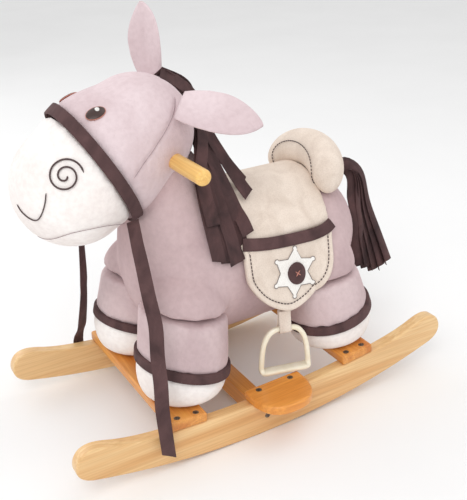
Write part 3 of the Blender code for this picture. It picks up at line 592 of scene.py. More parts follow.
# %% Where the screws go
def screw_places():
    """Every screw as (where its head sits, the way it faces), on the bench."""
    found = {"front": [], "rear": [], "rest": [], "rail": []}
    for end, word in ((-1, "front"), (1, "rear")):
        hold = board_place(end)
        top = GAP + BOARD_THICK
        up = hold((0, 0, 1)) - hold((0, 0, 0))
        for side in (1, -1):
            for off in (-BOARD_SCREW_OFF, BOARD_SCREW_OFF):
                found[word].append((hold((side * SCREW_X, off, top)), up))
    for side in (1, -1):
        for off in (-REST_SCREW_Y, REST_SCREW_Y):
            at = np.array((side * SCREW_X, off, REST_SEAT_Z + GAP + REST_THICK))
            found["rest"].append((at, np.array((0.0, 0.0, 1.0))))
        at = np.array((side * ROCKER_OUTER, RAIL_Y, sum(RAIL_Z) / 2))
        found["rail"].append((at, np.array((float(side), 0.0, 0.0))))
    return found


SCREWS = screw_places()


# %% Saw the rockers
def pockets_on(places, side=0):
    return [(tuple(settle(at)), settled_way(way)) for at, way in places
            if not side or at[0] * side > 0]


for side, hand in ((1, "left"), (-1, "right")):
    xs = sorted((side * ROCKER_OUTER, side * (ROCKER_OUTER - ROCKER_THICK)))
    board(f"rocker_{hand}_board", rocker_outline(), *xs, 0, rocker_wood, "wood_pale",
          [f"rocker_{hand}"], 0.0032, pockets_on(SCREWS["rail"], side))

print("rocker outline has", len(rocker_outline()), "points")

# %% [markdown]
# ### Boards
#
# A board lies across the rockers under each pair of hooves, tilted a little toward
# the middle. A half-round footrest sticks out on each side, and a rail near the floor
# ties the rockers together. The same helper saws them all; only the outlines differ.

# %% Foot boards, footrests and rail
for end, word in ((-1, "front"), (1, "rear")):
    half = BOARD_WIDE / 2
    outline = [(-ROCKER_OUTER, -half), (ROCKER_OUTER, -half), (ROCKER_OUTER, half),
               (-ROCKER_OUTER, half)]
    board(f"{word}_standing_board", outline, GAP, GAP + BOARD_THICK, 2, board_wood,
          "wood_honey", [f"{word}_foot_board"], 0.0030, pockets_on(SCREWS[word]),
          board_place(end))

rest_curve = [(ROCKER_OUTER + 0.008, -REST_HALF), (0.181, -0.038), (0.195, -0.023),
              (REST_REACH, 0.0), (0.195, 0.023), (0.181, 0.038),
              (ROCKER_OUTER + 0.008, REST_HALF)]
for side, hand in ((1, "left"), (-1, "right")):
    rounded = [(side * x, y) for x, y in smooth_route(rest_curve, 48)]
    outline = [(side * (ROCKER_OUTER - ROCKER_THICK), -REST_HALF)] + rounded
    outline += [(side * (ROCKER_OUTER - ROCKER_THICK), REST_HALF)]
    board(f"footrest_{hand}_board", outline, REST_SEAT_Z + GAP, REST_SEAT_Z + GAP + REST_THICK,
          2, rest_wood, "wood_honey", [f"footrest_{hand}"], 0.0034,
          pockets_on(SCREWS["rest"], side))

reach = ROCKER_OUTER - ROCKER_THICK - GAP
rail_outline = [(RAIL_Y - RAIL_WIDE / 2, RAIL_Z[0]), (RAIL_Y + RAIL_WIDE / 2, RAIL_Z[0]),
                (RAIL_Y + RAIL_WIDE / 2, RAIL_Z[1]), (RAIL_Y - RAIL_WIDE / 2, RAIL_Z[1])]
board("cross_rail", rail_outline, -reach, reach, 0, board_wood, "wood_pale",
      ["centre_rail"], 0.0015)

# %% [markdown]
# ## The screws
#
# Fourteen equal countersunk screws hold the base together. What repeats is a job
# for Geometry Nodes: one screw head is built in the tree, a cross recess is cut in
# it, and it is set down on every point of a small mesh, turned to the way which
# that point carries.

# %% The start and the end of a node tree
def tree_with(name, inputs):
    """A node tree with a mesh in, a mesh out, and named numbers."""
    tree = bpy.data.node_groups.new(name, "GeometryNodeTree")
    tree.interface.new_socket("Geometry", in_out="INPUT", socket_type="NodeSocketGeometry")
    for label, kind, value in inputs:
        made = tree.interface.new_socket(label, in_out="INPUT", socket_type=kind)
        if value is not None:
            made.default_value = value
    tree.interface.new_socket("Geometry", in_out="OUTPUT", socket_type="NodeSocketGeometry")
    start, end = tree.nodes.new("NodeGroupInput"), tree.nodes.new("NodeGroupOutput")
    return tree, start, end


def set_down(tree, shape, points, way, start, end):
    """Ends a tree: the shape on every point, turned along way, made real, in its finish."""
    new, join = tree.nodes.new, tree.links.new
    turn = new("FunctionNodeAlignRotationToVector")
    turn.axis = "Z"
    join(way, turn.inputs["Vector"])
    put = new("GeometryNodeInstanceOnPoints")
    join(points, put.inputs["Points"])
    join(shape, put.inputs["Instance"])
    join(turn.outputs["Rotation"], put.inputs["Rotation"])
    real, paint = new("GeometryNodeRealizeInstances"), new("GeometryNodeSetMaterial")
    join(put.outputs["Instances"], real.inputs["Geometry"])
    join(real.outputs["Geometry"], paint.inputs["Geometry"])
    join(start.outputs["Finish"], paint.inputs["Material"])
    join(paint.outputs["Geometry"], end.inputs["Geometry"])


def grown(obj, tree, values):
    """Runs a tree on an object and keeps the plain mesh it makes."""
    made = obj.modifiers.new(tree.name, "NODES")
    made.node_group = tree
    sockets = {s.name: s.identifier for s in tree.interface.items_tree if s.in_out == "INPUT"}
    for label, value in values.items():
        made[sockets[label]] = value
    return with_modifiers(obj)


# %% One screw head, set down on points
def screw_head_tree():
    tree, start, end = tree_with("screw_heads", [
        ("Head Radius", "NodeSocketFloat", 0.0044), ("Head Depth", "NodeSocketFloat", 0.0016),
        ("Recess Width", "NodeSocketFloat", 0.0011), ("Recess Length", "NodeSocketFloat", 0.0052),
        ("Finish", "NodeSocketMaterial", None)])
    new, join = tree.nodes.new, tree.links.new
    head = new("GeometryNodeMeshCylinder")
    head.inputs["Vertices"].default_value = 20
    join(start.outputs["Head Radius"], head.inputs["Radius"])
    join(start.outputs["Head Depth"], head.inputs["Depth"])
    cut = new("GeometryNodeMeshBoolean")
    cut.operation = "DIFFERENCE"
    join(head.outputs["Mesh"], cut.inputs["Mesh 1"])
    for turn in (0.35, 0.35 + math.pi / 2):
        size = new("ShaderNodeCombineXYZ")
        size.inputs["Z"].default_value = 0.0020
        join(start.outputs["Recess Length"], size.inputs["X"])
        join(start.outputs["Recess Width"], size.inputs["Y"])
        bar = new("GeometryNodeMeshCube")
        join(size.outputs["Vector"], bar.inputs["Size"])
        move = new("GeometryNodeTransform")
        move.inputs["Rotation"].default_value = (0, 0, turn)
        move.inputs["Translation"].default_value = (0, 0, 0.0010)
        join(bar.outputs["Mesh"], move.inputs["Geometry"])
        join(move.outputs["Geometry"], cut.inputs["Mesh 2"])
    way = new("GeometryNodeInputNamedAttribute")
    way.data_type = "FLOAT_VECTOR"
    way.inputs["Name"].default_value = "way"
    set_down(tree, cut.outputs["Mesh"], start.outputs["Geometry"], way.outputs["Attribute"],
             start, end)
    return tree


# %% Drive the screws
HEAD_SUNK = 0.0011


def drive_screws():
    places = [place for group in SCREWS.values() for place in group]
    mesh = bpy.data.meshes.new("screw_heads")
    ways = np.array([settled_way(way) for _, way in places])
    seats = np.array([settle(at) for at, _ in places]) - ways * HEAD_SUNK
    mesh.from_pydata([tuple(map(float, p)) for p in seats], [], [])
    carried = mesh.attributes.new("way", "FLOAT_VECTOR", "POINT")
    carried.data.foreach_set("vector", ways.astype(np.float32).ravel())
    obj = grown(link("screw_heads", mesh), screw_head_tree(), {"Finish": steel})
    names = [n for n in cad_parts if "screw" in n]
    print(len(places), "screw heads stand for", len(names), "screws")
    return dressed(obj, steel, "screw_steel", names, smooth=False)


drive_screws()

# %% [markdown]
# ## The handle and the hidden frame
#
# The handle is a 22 mm dowel right through the nape. It is turned: a profile with a soft
# rounded end is spun about its axis. The posts and the seat board inside the
# stuffing keep their own solids and get plain pine.

# %% Turn the handle
HANDLE_AT, HANDLE_RADIUS, HANDLE_HALF = (-0.089, 0.414), 0.011, 0.150


def turned_bar(profile, steps, place):
    rings = [[place(x, r * math.cos(a), r * math.sin(a))
              for a in np.linspace(0, math.tau, steps, endpoint=False)] for x, r in profile]
    return skin(rings)


end_round = [(HANDLE_HALF - 0.0055 * (1 - math.sin(a)), HANDLE_RADIUS - 0.0055 * (1 - math.cos(a)))
             for a in np.linspace(0, math.pi / 2 * 0.98, 9)]
end_round += [(HANDLE_HALF, 0.0026), (HANDLE_HALF + 0.0001, 0.0004)]
profile = [(-x, r) for x, r in reversed(end_round)]
profile += [(x, HANDLE_RADIUS) for x in np.linspace(-0.13, 0.13, 14)] + end_round
piece("handle_dowel",
      *turned_bar(profile, 48, lambda x, a, b: (x, HANDLE_AT[0] + a, HANDLE_AT[1] + b)),
      dowel_wood, "wood_honey", ["handle_bar"])

print("handle:", 2 * HANDLE_RADIUS, "thick,", 2 * HANDLE_HALF, "long")

for name in ("seat_board", "neck_post", "leg_post_front_left", "leg_post_front_right",
             "leg_post_rear_left", "leg_post_rear_right"):
    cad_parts[name].data.materials.clear()
    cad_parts[name].data.materials.append(hidden_wood)

# %% [markdown]
# ## The stuffed forms
#
# Each stuffed part is first described by a distance: how far a point lies outside
# a row of balls run together. The trunk is one such row, the neck another, and each
# leg a short upright one. Where the distance is nought, there is the cloth.

# %% Measures of the stuffed forms
BODY_FRONT, BODY_REAR, BODY_RADIUS = (0.0, -0.046, 0.232), (0.0, 0.118, 0.229), 0.112
NECK_LOW, NECK_HIGH = (0.0, -0.060, 0.285), (0.0, -0.098, 0.385)
HEAD_BACK, HEAD_MID = (0.0, -0.112, 0.443), (0.0, -0.160, 0.420)
HEAD_NOSE = (0.0, -0.207, 0.392)
MUZZLE_AT, MUZZLE_DIR = np.array((0.0, -0.176, 0.411)), unit((0.0, -0.90, -0.436))
LIMB_X, LIMB_Z, LIMB_RADIUS = (0.080, 0.068), (0.116, 0.196), (0.0685, 0.0660)
LIMB_Y = {-1: (-0.116, -0.100), 1: (0.139, 0.122)}
BAND_Z, BAND_HALF = 0.127, 0.0065
BAND_TILT = {-1: math.radians(18), 1: math.radians(10)}
LIMBS = [(side, end, f"{word}_{hand}") for end, word in ((-1, "front"), (1, "rear"))
         for side, hand in ((1, "left"), (-1, "right"))]


# %% Forms as distances
def ball_line(p, a, b, ra, rb):
    """Distance to a form that runs from one ball to another."""
    a, b = np.array(a), np.array(b)
    t = np.clip((p - a) @ (b - a) / ((b - a) @ (b - a)), 0.0, 1.0)
    return np.linalg.norm(p - (a + t[..., None] * (b - a)), axis=-1) - (ra + (rb - ra) * t)


def merge(d1, d2, k):
    h = np.clip(0.5 + 0.5 * (d2 - d1) / k, 0.0, 1.0)
    return d2 * (1 - h) + d1 * h - k * h * (1 - h)


def head_form(p):
    upper = ball_line(p, HEAD_BACK, HEAD_MID, 0.080, 0.089)
    return merge(upper, ball_line(p, HEAD_MID, HEAD_NOSE, 0.089, 0.084), 0.010)


def muzzle_gap(p):
    """Positive in front of the seam between head and muzzle."""
    return (p - MUZZLE_AT) @ MUZZLE_DIR


def body_form(p):
    trunk = ball_line(p, BODY_FRONT, BODY_REAR, BODY_RADIUS, BODY_RADIUS - 0.002)
    return merge(trunk, ball_line(p, NECK_LOW, NECK_HIGH, 0.086, 0.066), 0.045)


def limb_form(p, side, end):
    low = (side * LIMB_X[0], LIMB_Y[end][0], LIMB_Z[0])
    high = (side * LIMB_X[1], LIMB_Y[end][1], LIMB_Z[1])
    return ball_line(p, low, high, *LIMB_RADIUS)


# %% Planes where one cloth ends and the next begins
def above_band(p, side, end):
    """Height over the tilted plane where a leg meets its hoof."""
    up = np.array((0.0, -end * math.sin(BAND_TILT[end]), math.cos(BAND_TILT[end])))
    return (p - np.array((side * LIMB_X[0], LIMB_Y[end][0], BAND_Z))) @ up


def above_board(p, end):
    """Height over the top face of a foot board."""
    up = np.array((0.0, -end * math.sin(BOARD_TILT), math.cos(BOARD_TILT)))
    return (p - np.array((0.0, end * BOARD_Y, BOARD_SEAT_Z))) @ up - 2 * GAP - BOARD_THICK


THIGH_SEAM = {-1: ((0.0, -0.092, 0.1985), 0.26), 1: ((0.0, 0.131, 0.1935), -0.02)}


def above_thigh(p, end):
    """Height over the seam which joins a leg to the thigh above it."""
    (x, y, z), slope = THIGH_SEAM[end]
    up = unit((0.0, slope, 1.0))
    return (p - np.array((x, y, z))) @ up


print("trunk is", round(2 * BODY_RADIUS * 1000), "mm through")

# %% [markdown]
# ### From a distance to a skin
#
# A ray is sent from the middle of each form in every direction until the distance
# crosses nought. The rays lie in rings, so neighbours make the faces of a closed
# skin. The same search lays flat things, such as bands and patches, on the cloth.

# %% Find surfaces along rays
def surface(form, start, ways, value=0.0, reach=0.45, steps=110):
    """How far along each direction the form first reaches the value."""
    start = np.broadcast_to(np.asarray(start, float), ways.shape)
    low = np.zeros(ways.shape[:-1])
    high = np.full(ways.shape[:-1], reach)
    done = np.zeros(ways.shape[:-1], bool)
    for step in np.linspace(0.0, reach, steps + 1)[1:]:
        out = form(start + ways * step) > value
        high = np.where(out & ~done, step, high)
        done |= out
        low = np.where(done, low, step)
    for _ in range(18):
        mid = (low + high) / 2
        out = form(start + ways * mid[..., None]) > value
        high = np.where(out, mid, high)
        low = np.where(out, low, mid)
    return (low + high) / 2


def slope_of(form, p, step=2e-4):
    """The way a form's cloth faces at each point."""
    shifts = np.eye(3) * step
    return unit(np.stack([form(p + s) - form(p - s) for s in shifts], axis=-1))


# %% A closed skin round a form
def stuffed(form, centre, rings, steps, tilt=0.0, value=0.0):
    """A closed skin round a form, seen from a point inside; tilt leans the poles."""
    ways = []
    for r in range(1, rings):
        polar = math.pi * r / rings
        for i in range(steps):
            a = math.tau * i / steps
            ways.append((math.sin(polar) * math.cos(a), math.sin(polar) * math.sin(a),
                         -math.cos(polar)))
    ways = np.array([(0.0, 0.0, -1.0)] + ways + [(0.0, 0.0, 1.0)])
    c, s = math.cos(tilt), math.sin(tilt)
    ways = np.stack([ways[:, 0], ways[:, 1] * c - ways[:, 2] * s,
                     ways[:, 1] * s + ways[:, 2] * c], axis=1)
    found = np.asarray(centre) + ways * surface(form, centre, ways, value)[:, None]
    faces = [[0, 1 + (i + 1) % steps, 1 + i] for i in range(steps)]
    for r in range(rings - 2):
        a, b = 1 + r * steps, 1 + (r + 1) * steps
        for i in range(steps):
            j = (i + 1) % steps
            faces.append([a + i, a + j, b + j, b + i])
    top, last = 1 + (rings - 2) * steps, len(ways) - 1
    faces += [[top + i, top + (i + 1) % steps, last] for i in range(steps)]
    return found, faces


# %% [markdown]
# ### Filling the skins
#
# A sewn skin is pressed outward by its stuffing. The skin starts a few millimetres
# small, is remeshed into even squares, and Cloth with inner pressure blows it up for
# twenty frames. No point may travel further than a set distance, so the shape keeps
# its measure. Seams are pressed in afterwards, because remeshing would lose them.

# %% Blow up a skin
def points_of(mesh):
    co = np.empty(len(mesh.vertices) * 3, np.float32)
    mesh.vertices.foreach_get("co", co)
    return co.reshape(-1, 3).astype(float)


def set_points(mesh, points):
    mesh.vertices.foreach_set("co", np.asarray(points, np.float32).ravel())
    mesh.update()


def plump(name, skins, voxel=0.005, travel=0.004, pressure=4.0, even=0, finer=1):
    """One even cloth from one or more closed skins, filled by pressure."""
    obj = link(name, mesh_of(name, *put_together(skins)))
    remesh = obj.modifiers.new("even_squares", "REMESH")
    remesh.mode, remesh.voxel_size = "VOXEL", voxel
    if even:
        smooth = obj.modifiers.new("eased", "SMOOTH")
        smooth.factor, smooth.iterations = 0.5, even
    with_modifiers(obj)
    start = points_of(obj.data)
    cloth = obj.modifiers.new("stuffing", "CLOTH")
    cloth.settings.use_pressure = True
    cloth.settings.uniform_pressure_force = pressure
    cloth.settings.effector_weights.gravity = 0
    for step in range(1, 21):
        bpy.context.scene.frame_set(step)
    with_modifiers(obj)
    bpy.context.scene.frame_set(1)
    move = points_of(obj.data) - start
    far = np.linalg.norm(move, axis=1, keepdims=True)
    set_points(obj.data, start + move * np.minimum(1.0, travel / np.maximum(far, 1e-9)))
    print(name, "swells by", round(float(np.median(far)) * 1000, 1), "mm before the cap")
    if finer:
        finer_mesh = obj.modifiers.new("finer", "SUBSURF")
        finer_mesh.levels = finer_mesh.render_levels = finer
        with_modifiers(obj)
    return obj


# %% Press the seams and finish a soft piece
def press_seams(obj, seams, sunk=None):
    """Each seam is (distance function, depth, half width); sunk gives more depth at a point."""
    points = points_of(obj.data)
    normals = np.empty(len(points) * 3, np.float32)
    obj.data.vertex_normals.foreach_get("vector", normals)
    normals = normals.reshape(-1, 3).astype(float)
    moved = points.copy()
    if sunk:
        moved -= normals * sunk(points)[:, None]
    for gap, depth, width in seams:
        pull = depth * np.exp(-((gap(points) / width) ** 2))
        moved -= normals * pull[:, None]
    set_points(obj.data, moved)
    return obj


def near_line(route, mirrored=False):
    """Distance to a line on the cloth, on one side or on both."""
    line = smooth_route(route, 70)

    def gap(p):
        q = p.copy()
        if mirrored:
            q[:, 0] = np.abs(q[:, 0])
        return np.sqrt(((q[:, None, :] - line[None]) ** 2).sum(axis=-1).min(axis=1))

    return gap


def soft_piece(obj, finish, slot, nodes):
    set_points(obj.data, settle(points_of(obj.data)))
    dressed(obj, finish, slot, nodes)
    print(obj.name, len(obj.data.polygons), "faces")
    return obj


# %% [markdown]
# ### Trunk and thighs
#
# The trunk, the neck and the four thighs are one stuffed skin: the side panels run
# straight down into the legs, and only a level seam marks where the lighter leg
# cloth begins. So the trunk and the thighs are separate skins first, and the remesh
# fuses them. The hidden frame stays inside. The back sinks a little where the seat
# presses on it.

# %% Skins of the trunk and the thighs
START_SMALL = 0.0032  # how much smaller the skin starts than the filled form
THIGH_FULLER = 0.0032  # how far a thigh stands out over its leg


def thigh_skin(side, end):
    centre = (side * 0.074, LIMB_Y[end][1], 0.222)

    def form(p):
        return np.maximum(limb_form(p, side, end) - THIGH_FULLER,
                          -above_thigh(p, end) + 0.0006)

    return stuffed(form, centre, 26, 40, value=-START_SMALL)


trunk_skins = [stuffed(body_form, (0, -0.030, 0.250), 60, 90, value=-START_SMALL)]
trunk_skins += [thigh_skin(side, end) for side, end, _ in LIMBS]
print(len(trunk_skins), "skins start", START_SMALL, "small")

# %% Fill the trunk and press its seams
trunk = plump("stuffed_trunk", trunk_skins, travel=START_SMALL, even=6)
SADDLE_SINK = 0.0085
chest_line = [(0.006, -0.100, 0.352), (0.009, -0.150, 0.312), (0.012, -0.159, 0.268),
              (0.009, -0.157, 0.222), (0.006, -0.130, 0.160), (0.004, -0.080, 0.126),
              (0.002, 0.000, 0.120), (0.0, 0.100, 0.119), (0.0, 0.180, 0.136),
              (0.0, 0.226, 0.190), (0.0, 0.229, 0.250), (0.0, 0.210, 0.300)]


def sat_in(p):
    """How far the back sinks under the saddle, at points near it."""
    along = np.maximum(np.abs(p[..., 1] - 0.068) - 0.056, 0.0)
    below = np.maximum(0.318 - p[..., 2], 0.0)
    return SADDLE_SINK * np.exp(-(along ** 2 + below ** 2) / 0.022 ** 2)


def under_chin(p):
    """Distance to the head, at the height where it sits on the neck."""
    return np.where(np.abs(p[:, 2] - 0.35) < 0.06, head_form(p), 1.0)


press_seams(trunk, [(near_line(chest_line), 0.0016, 0.0028), (under_chin, 0.0030, 0.0050)],
            sunk=sat_in)
soft_piece(trunk, plush_body, "plush_body", ["torso"])

# %% [markdown]
# ### Head and muzzle
#
# The head is a big egg in two colours: mauve behind the noseband, white in front.
# A seam runs from the ear over the cheek to the noseband, and another divides the
# lower jaw from the muzzle.

# %% Sew the head and the muzzle
cheek_line = [(0.046, -0.070, 0.492), (0.062, -0.080, 0.480), (0.0724, -0.0911, 0.4696),
              (0.0816, -0.1195, 0.4438), (0.0880, -0.1400, 0.4290), (0.0911, -0.1577, 0.4132)]
jaw_line = [(0.050, -0.160, 0.338), (0.0716, -0.1905, 0.3514), (0.0742, -0.2194, 0.3549),
            (0.0634, -0.2438, 0.3511), (0.0339, -0.2622, 0.3385), (0.0, -0.2700, 0.3330)]
HEAD_SMALL = 0.0022


def beside_noseband(p):
    """Distance to the cloth that the noseband presses in, 4 mm either side of the seam."""
    return np.abs(muzzle_gap(p)) - 0.004


head = plump("stuffed_head", [stuffed(
    lambda p: np.maximum(head_form(p), muzzle_gap(p) + 0.001), (0, -0.122, 0.438), 48, 72,
    value=-HEAD_SMALL)], travel=HEAD_SMALL)
press_seams(head, [(near_line(cheek_line, True), 0.0018, 0.0026),
                   (beside_noseband, 0.0016, 0.0060)])
soft_piece(head, plush_head, "plush_head", ["head"])

muzzle = plump("stuffed_muzzle", [stuffed(
    lambda p: np.maximum(head_form(p), -muzzle_gap(p) + 0.001), (0, -0.214, 0.390), 44, 66,
    math.radians(64), value=-HEAD_SMALL)], travel=HEAD_SMALL)
press_seams(muzzle, [(near_line(jaw_line, True), 0.0014, 0.0030),
                     (beside_noseband, 0.0016, 0.0060)])
soft_piece(muzzle, plush_white, "plush_white", ["muzzle"])

# %% [markdown]
# ### Legs and hooves
#
# Each leg is a short drum of lighter plush between the thigh seam and the brown
# ribbon, and each hoof is a white cap below it, flat where it stands on its board.
# The left ones are filled first; the right ones are their mirror images.

# %% The cloth of a leg and of a hoof
def mirrored_copy(obj, name):
    """The other side's piece: x turned about, faces turned back to look outward."""
    mesh = obj.data.copy()
    mesh.name = name
    points = points_of(mesh)
    points[:, 0] *= -1
    set_points(mesh, points)
    mesh.flip_normals()
    return link(name, mesh)


def leg_cloth(p, end):
    shape = np.maximum(limb_form(p, 1, end), -above_band(p, 1, end))
    return np.maximum(shape, above_thigh(p, end))


def hoof_cloth(p, end):
    shape = np.maximum(limb_form(p, 1, end), above_band(p, 1, end))
    return merge(shape, -above_board(p, end), -0.012)


# %% Sew legs and hooves
LIMB_SMALL = 0.0024


def sewn_limb(name, form, centre, end, finish, slot, node_kind, seams):
    skins = [stuffed(form, centre, 34, 54, -end * BAND_TILT[end] * 0.6, value=-LIMB_SMALL)]
    left = plump(name + "_left", skins, voxel=0.0045, travel=LIMB_SMALL)
    press_seams(left, seams)
    right = mirrored_copy(left, name + "_right")
    word = "front" if end < 0 else "rear"
    for obj, hand in ((left, "left"), (right, "right")):
        soft_piece(obj, finish, slot, [f"{node_kind}_{word}_{hand}"])


for end, word in ((-1, "front"), (1, "rear")):
    middle = (0.078, (LIMB_Y[end][0] + LIMB_Y[end][1]) / 2, 0.160)
    sewn_limb(f"{word}_leg", lambda p, e=end: leg_cloth(p, e), middle, end, plush_leg,
              "plush_head", "leg", [(lambda p, e=end: above_thigh(p, e), 0.0012, 0.0034)])
    low = (LIMB_X[0], LIMB_Y[end][0], 0.103)
    sewn_limb(f"{word}_hoof", lambda p, e=end: hoof_cloth(p, e), low, end, plush_white,
              "plush_white", "hoof", [(lambda p, e=end: above_band(p, 1, e), 0.0010, 0.005)])

# %% [markdown]
# ### Ribbons
#
# A suede ribbon hides the seam round each leg, and a wider one, the noseband, goes
# round the head over the muzzle seam. A ribbon is a short belt: at every step round
# the form its profile is laid on the cloth with soft edges.

# %% Lay the ribbons
def belt(form, centre, up, across, half, low, high, steps):
    """Rings of a belt round a form, in the plane square to up."""
    along = np.cross(up, across)
    profile = [(-1.0, low), (-0.5, low), (0.5, low), (1.0, low), (1.02, (low + high) / 2),
               (0.96, high - 0.0001), (0.80, high), (0.3, high), (-0.3, high), (-0.80, high),
               (-0.96, high - 0.0001), (-1.02, (low + high) / 2)]
    a = np.linspace(0, math.tau, steps, endpoint=False)
    outs = np.outer(np.cos(a), across) + np.outer(np.sin(a), along)
    rows = []
    for shift, lift in profile:
        start = np.asarray(centre) + np.asarray(up) * (shift * half)
        far = surface(form, start, outs, lift, reach=0.16)
        rows.append(start + outs * far[:, None])
    return np.stack(rows, axis=1).tolist()


to_the_left = np.array((1.0, 0.0, 0.0))
nose_rings = belt(head_form, MUZZLE_AT, MUZZLE_DIR, to_the_left, 0.0080, -0.0006, 0.0024, 150)
piece("noseband_ribbon", *skin(nose_rings, True), suede_brown, "suede_brown", ["noseband"])
for side, end, where in LIMBS:
    tilt = -end * BAND_TILT[end]
    up = np.array((0.0, math.sin(tilt), math.cos(tilt)))
    centre = (side * LIMB_X[0], LIMB_Y[end][0], BAND_Z)
    rings = belt(lambda p: limb_form(p, side, end), centre, up, to_the_left, BAND_HALF,
                 -0.0080, 0.0010, 110)
    piece(f"hoof_ribbon_{where}", *skin(rings, True), suede_brown, "suede_brown",
          [f"hoof_band_{where}"])
print("ribbons:", 1 + len(LIMBS))

# %% [markdown]
# ### Ears
#
# Each ear is a leaf of two plush layers sewn at the rim and thinly filled, with a
# soft crease down its middle. The left one lies out to the side; the right one
# stands up. The crease and the cupped hollow come from the ring profile.

# %% Shape an ear
def ear_share(t):
    """Share of the full width at t from base to tip: it swells, then closes round."""
    if t <= 0.45:
        return float(np.interp(t, [0.0, 0.12, 0.28, 0.45], [0.72, 0.86, 0.97, 1.0]))
    return max(0.03, max(0.0, 1 - ((t - 0.45) / 0.55) ** 2) ** 0.72)


def ear_rings(base, tip, width, thick, face, hollow, rings=46, steps=40):
    base, tip = np.array(base), np.array(tip)
    along = unit(tip - base)
    across = unit(np.cross(along, face))
    out = np.cross(across, along)
    length = np.linalg.norm(tip - base)
    found = []
    for k in range(rings):
        t = math.sin(math.pi / 2 * k / (rings - 1)) if k else 0.0
        share = ear_share(t)
        ring = []
        for i in range(steps):
            a = math.tau * i / steps
            c, s = math.cos(a), math.sin(a)
            x = c * width / 2 * share
            y = s * thick / 2 * (0.35 + 0.65 * share) * (1 - 0.25 * c ** 4)
            y += hollow * share * ((2 * x / width) ** 2 - 0.5)
            if s > 0:
                y -= 0.0022 * math.exp(-((x / 0.0045) ** 2)) * math.sin(math.pi * min(1, t * 1.15))
            ring.append(base + along * (t * length) + across * x + out * y)
        found.append(ring)
    return found


# %% Sew the ears
for hand, base, tip, face in (
        ("left", (0.066, -0.074, 0.486), (0.143, 0.002, 0.461), (0.3, -0.5, 0.8)),
        ("right", (-0.049, -0.061, 0.502), (-0.061, -0.057, 0.599), (0.35, -0.9, 0.1))):
    ear = piece(f"soft_ear_{hand}", *skin(ear_rings(base, tip, 0.060, 0.016, face, 0.008)),
                plush_head, "plush_head", [f"ear_{hand}"])
    print(ear.name, "is", round(math.dist(base, tip), 3), "long")

# %% [markdown]
# ## Embroidered face
#
# Eyes, nostrils and smile are stitched on. A satin eye is a low domed patch laid on
# the cloth; a nostril or a smile is one round of thick thread. Both are drawn flat
# beside the head and then carried onto the cloth along one direction.

# %% Carry flat drawings onto the cloth
def frame_on(form, near, along):
    """A drawing place on the cloth: its middle, its two directions and its normal."""
    near = np.asarray(near, float)
    normal = slope_of(form, near)
    u = unit(np.asarray(along, float) - normal * np.dot(along, normal))
    return near, u, np.cross(normal, u), normal


def laid(form, place, drawing, lift, depth=0.03):
    """Points (u, v) of a drawing laid on the form at a height over its cloth."""
    middle, u, v, normal = place
    drawing = np.asarray(drawing, float)
    start = middle + np.outer(drawing[:, 0], u) + np.outer(drawing[:, 1], v) - normal * depth
    ways = np.broadcast_to(normal, start.shape)
    far = surface(form, start, ways, lift, reach=depth * 2, steps=60)
    return start + ways * far[:, None]


def domed_patch(form, place, outline, lift, dome, rings=7, dip=0.0008):
    """A closed patch: its edge sunk a little into the cloth, its middle raised."""
    outline = np.asarray(outline, float)
    centre = outline.mean(axis=0)
    steps = [(1.0, -dip), (1.0, lift * 0.6), (0.975, lift)]
    steps += [(s, lift + dome * (1 - s * s)) for s in np.linspace(0.94, 0.12, rings)]
    rows = [laid(form, place, centre + (outline - centre) * s, h) for s, h in steps]
    rows.append(laid(form, place, centre[None], lift + dome))
    size = len(outline)
    faces = [list(range(size))]
    for r in range(len(steps) - 1):
        for i in range(size):
            j = (i + 1) % size
            faces.append([r * size + i, r * size + j, (r + 1) * size + j, (r + 1) * size + i])
    a, last = (len(steps) - 1) * size, len(steps) * size
    faces += [[a + i, a + (i + 1) % size, last] for i in range(size)]
    return np.concatenate(rows), faces


def oval(wide, tall, count=40, turn=0.0, at=(0.0, 0.0)):
    a = np.linspace(0, math.tau, count, endpoint=False)
    x, y = wide / 2 * np.cos(a), tall / 2 * np.sin(a)
    return np.stack([x * math.cos(turn) - y * math.sin(turn) + at[0],
                     x * math.sin(turn) + y * math.cos(turn) + at[1]], axis=1)


# %% Thick thread
def thread(route, normals, radius, sides=8):
    """Rings of a round thread along points on the cloth, with tapered ends."""
    route = np.asarray(route, float)
    ways = unit(np.gradient(route, axis=0))
    across = unit(np.cross(ways, normals))
    out = np.cross(across, ways)
    rings = []
    for i, p in enumerate(route):
        end = min(i, len(route) - 1 - i)
        r = radius * min(1.0, 0.25 + 0.4 * end)
        rings.append([p + r * (across[i] * math.cos(a) + out[i] * math.sin(a))
                      for a in np.linspace(0, math.tau, sides, endpoint=False)])
    return rings


# %% [markdown]
# ### Eyes, nostrils and smile
#
# Each eye is a rose rim, a dark satin oval and a white highlight, one above the
# other. A nostril is a spiral of nearly two turns. The smile is one curve, which
# starts nearer the middle on the left side.

# %% Where the face is stitched
def joined(name, parts, finish, slot):
    """Several (points, faces) as one piece."""
    return piece(name, *put_together(parts), finish, slot)


EYE_AT, EYE_ALONG = (0.0497, -0.1808, 0.4931), (0.19, 0.84, 0.51)
NOSTRIL_AT, SMILE = (0.0686, -0.2369, 0.4299), [
    (0.019, -0.2888, 0.3906), (0.0250, -0.2864, 0.3822), (0.0330, -0.2822, 0.3762),
    (0.0405, -0.2780, 0.3732), (0.0465, -0.2742, 0.3742), (0.0520, -0.2705, 0.3800),
    (0.0570, -0.2672, 0.3890), (0.0606, -0.2642, 0.4000), (0.0612, -0.2614, 0.4116)]


def mirror_points(side, p):
    return np.asarray(p, float) * np.array((side, 1.0, 1.0))


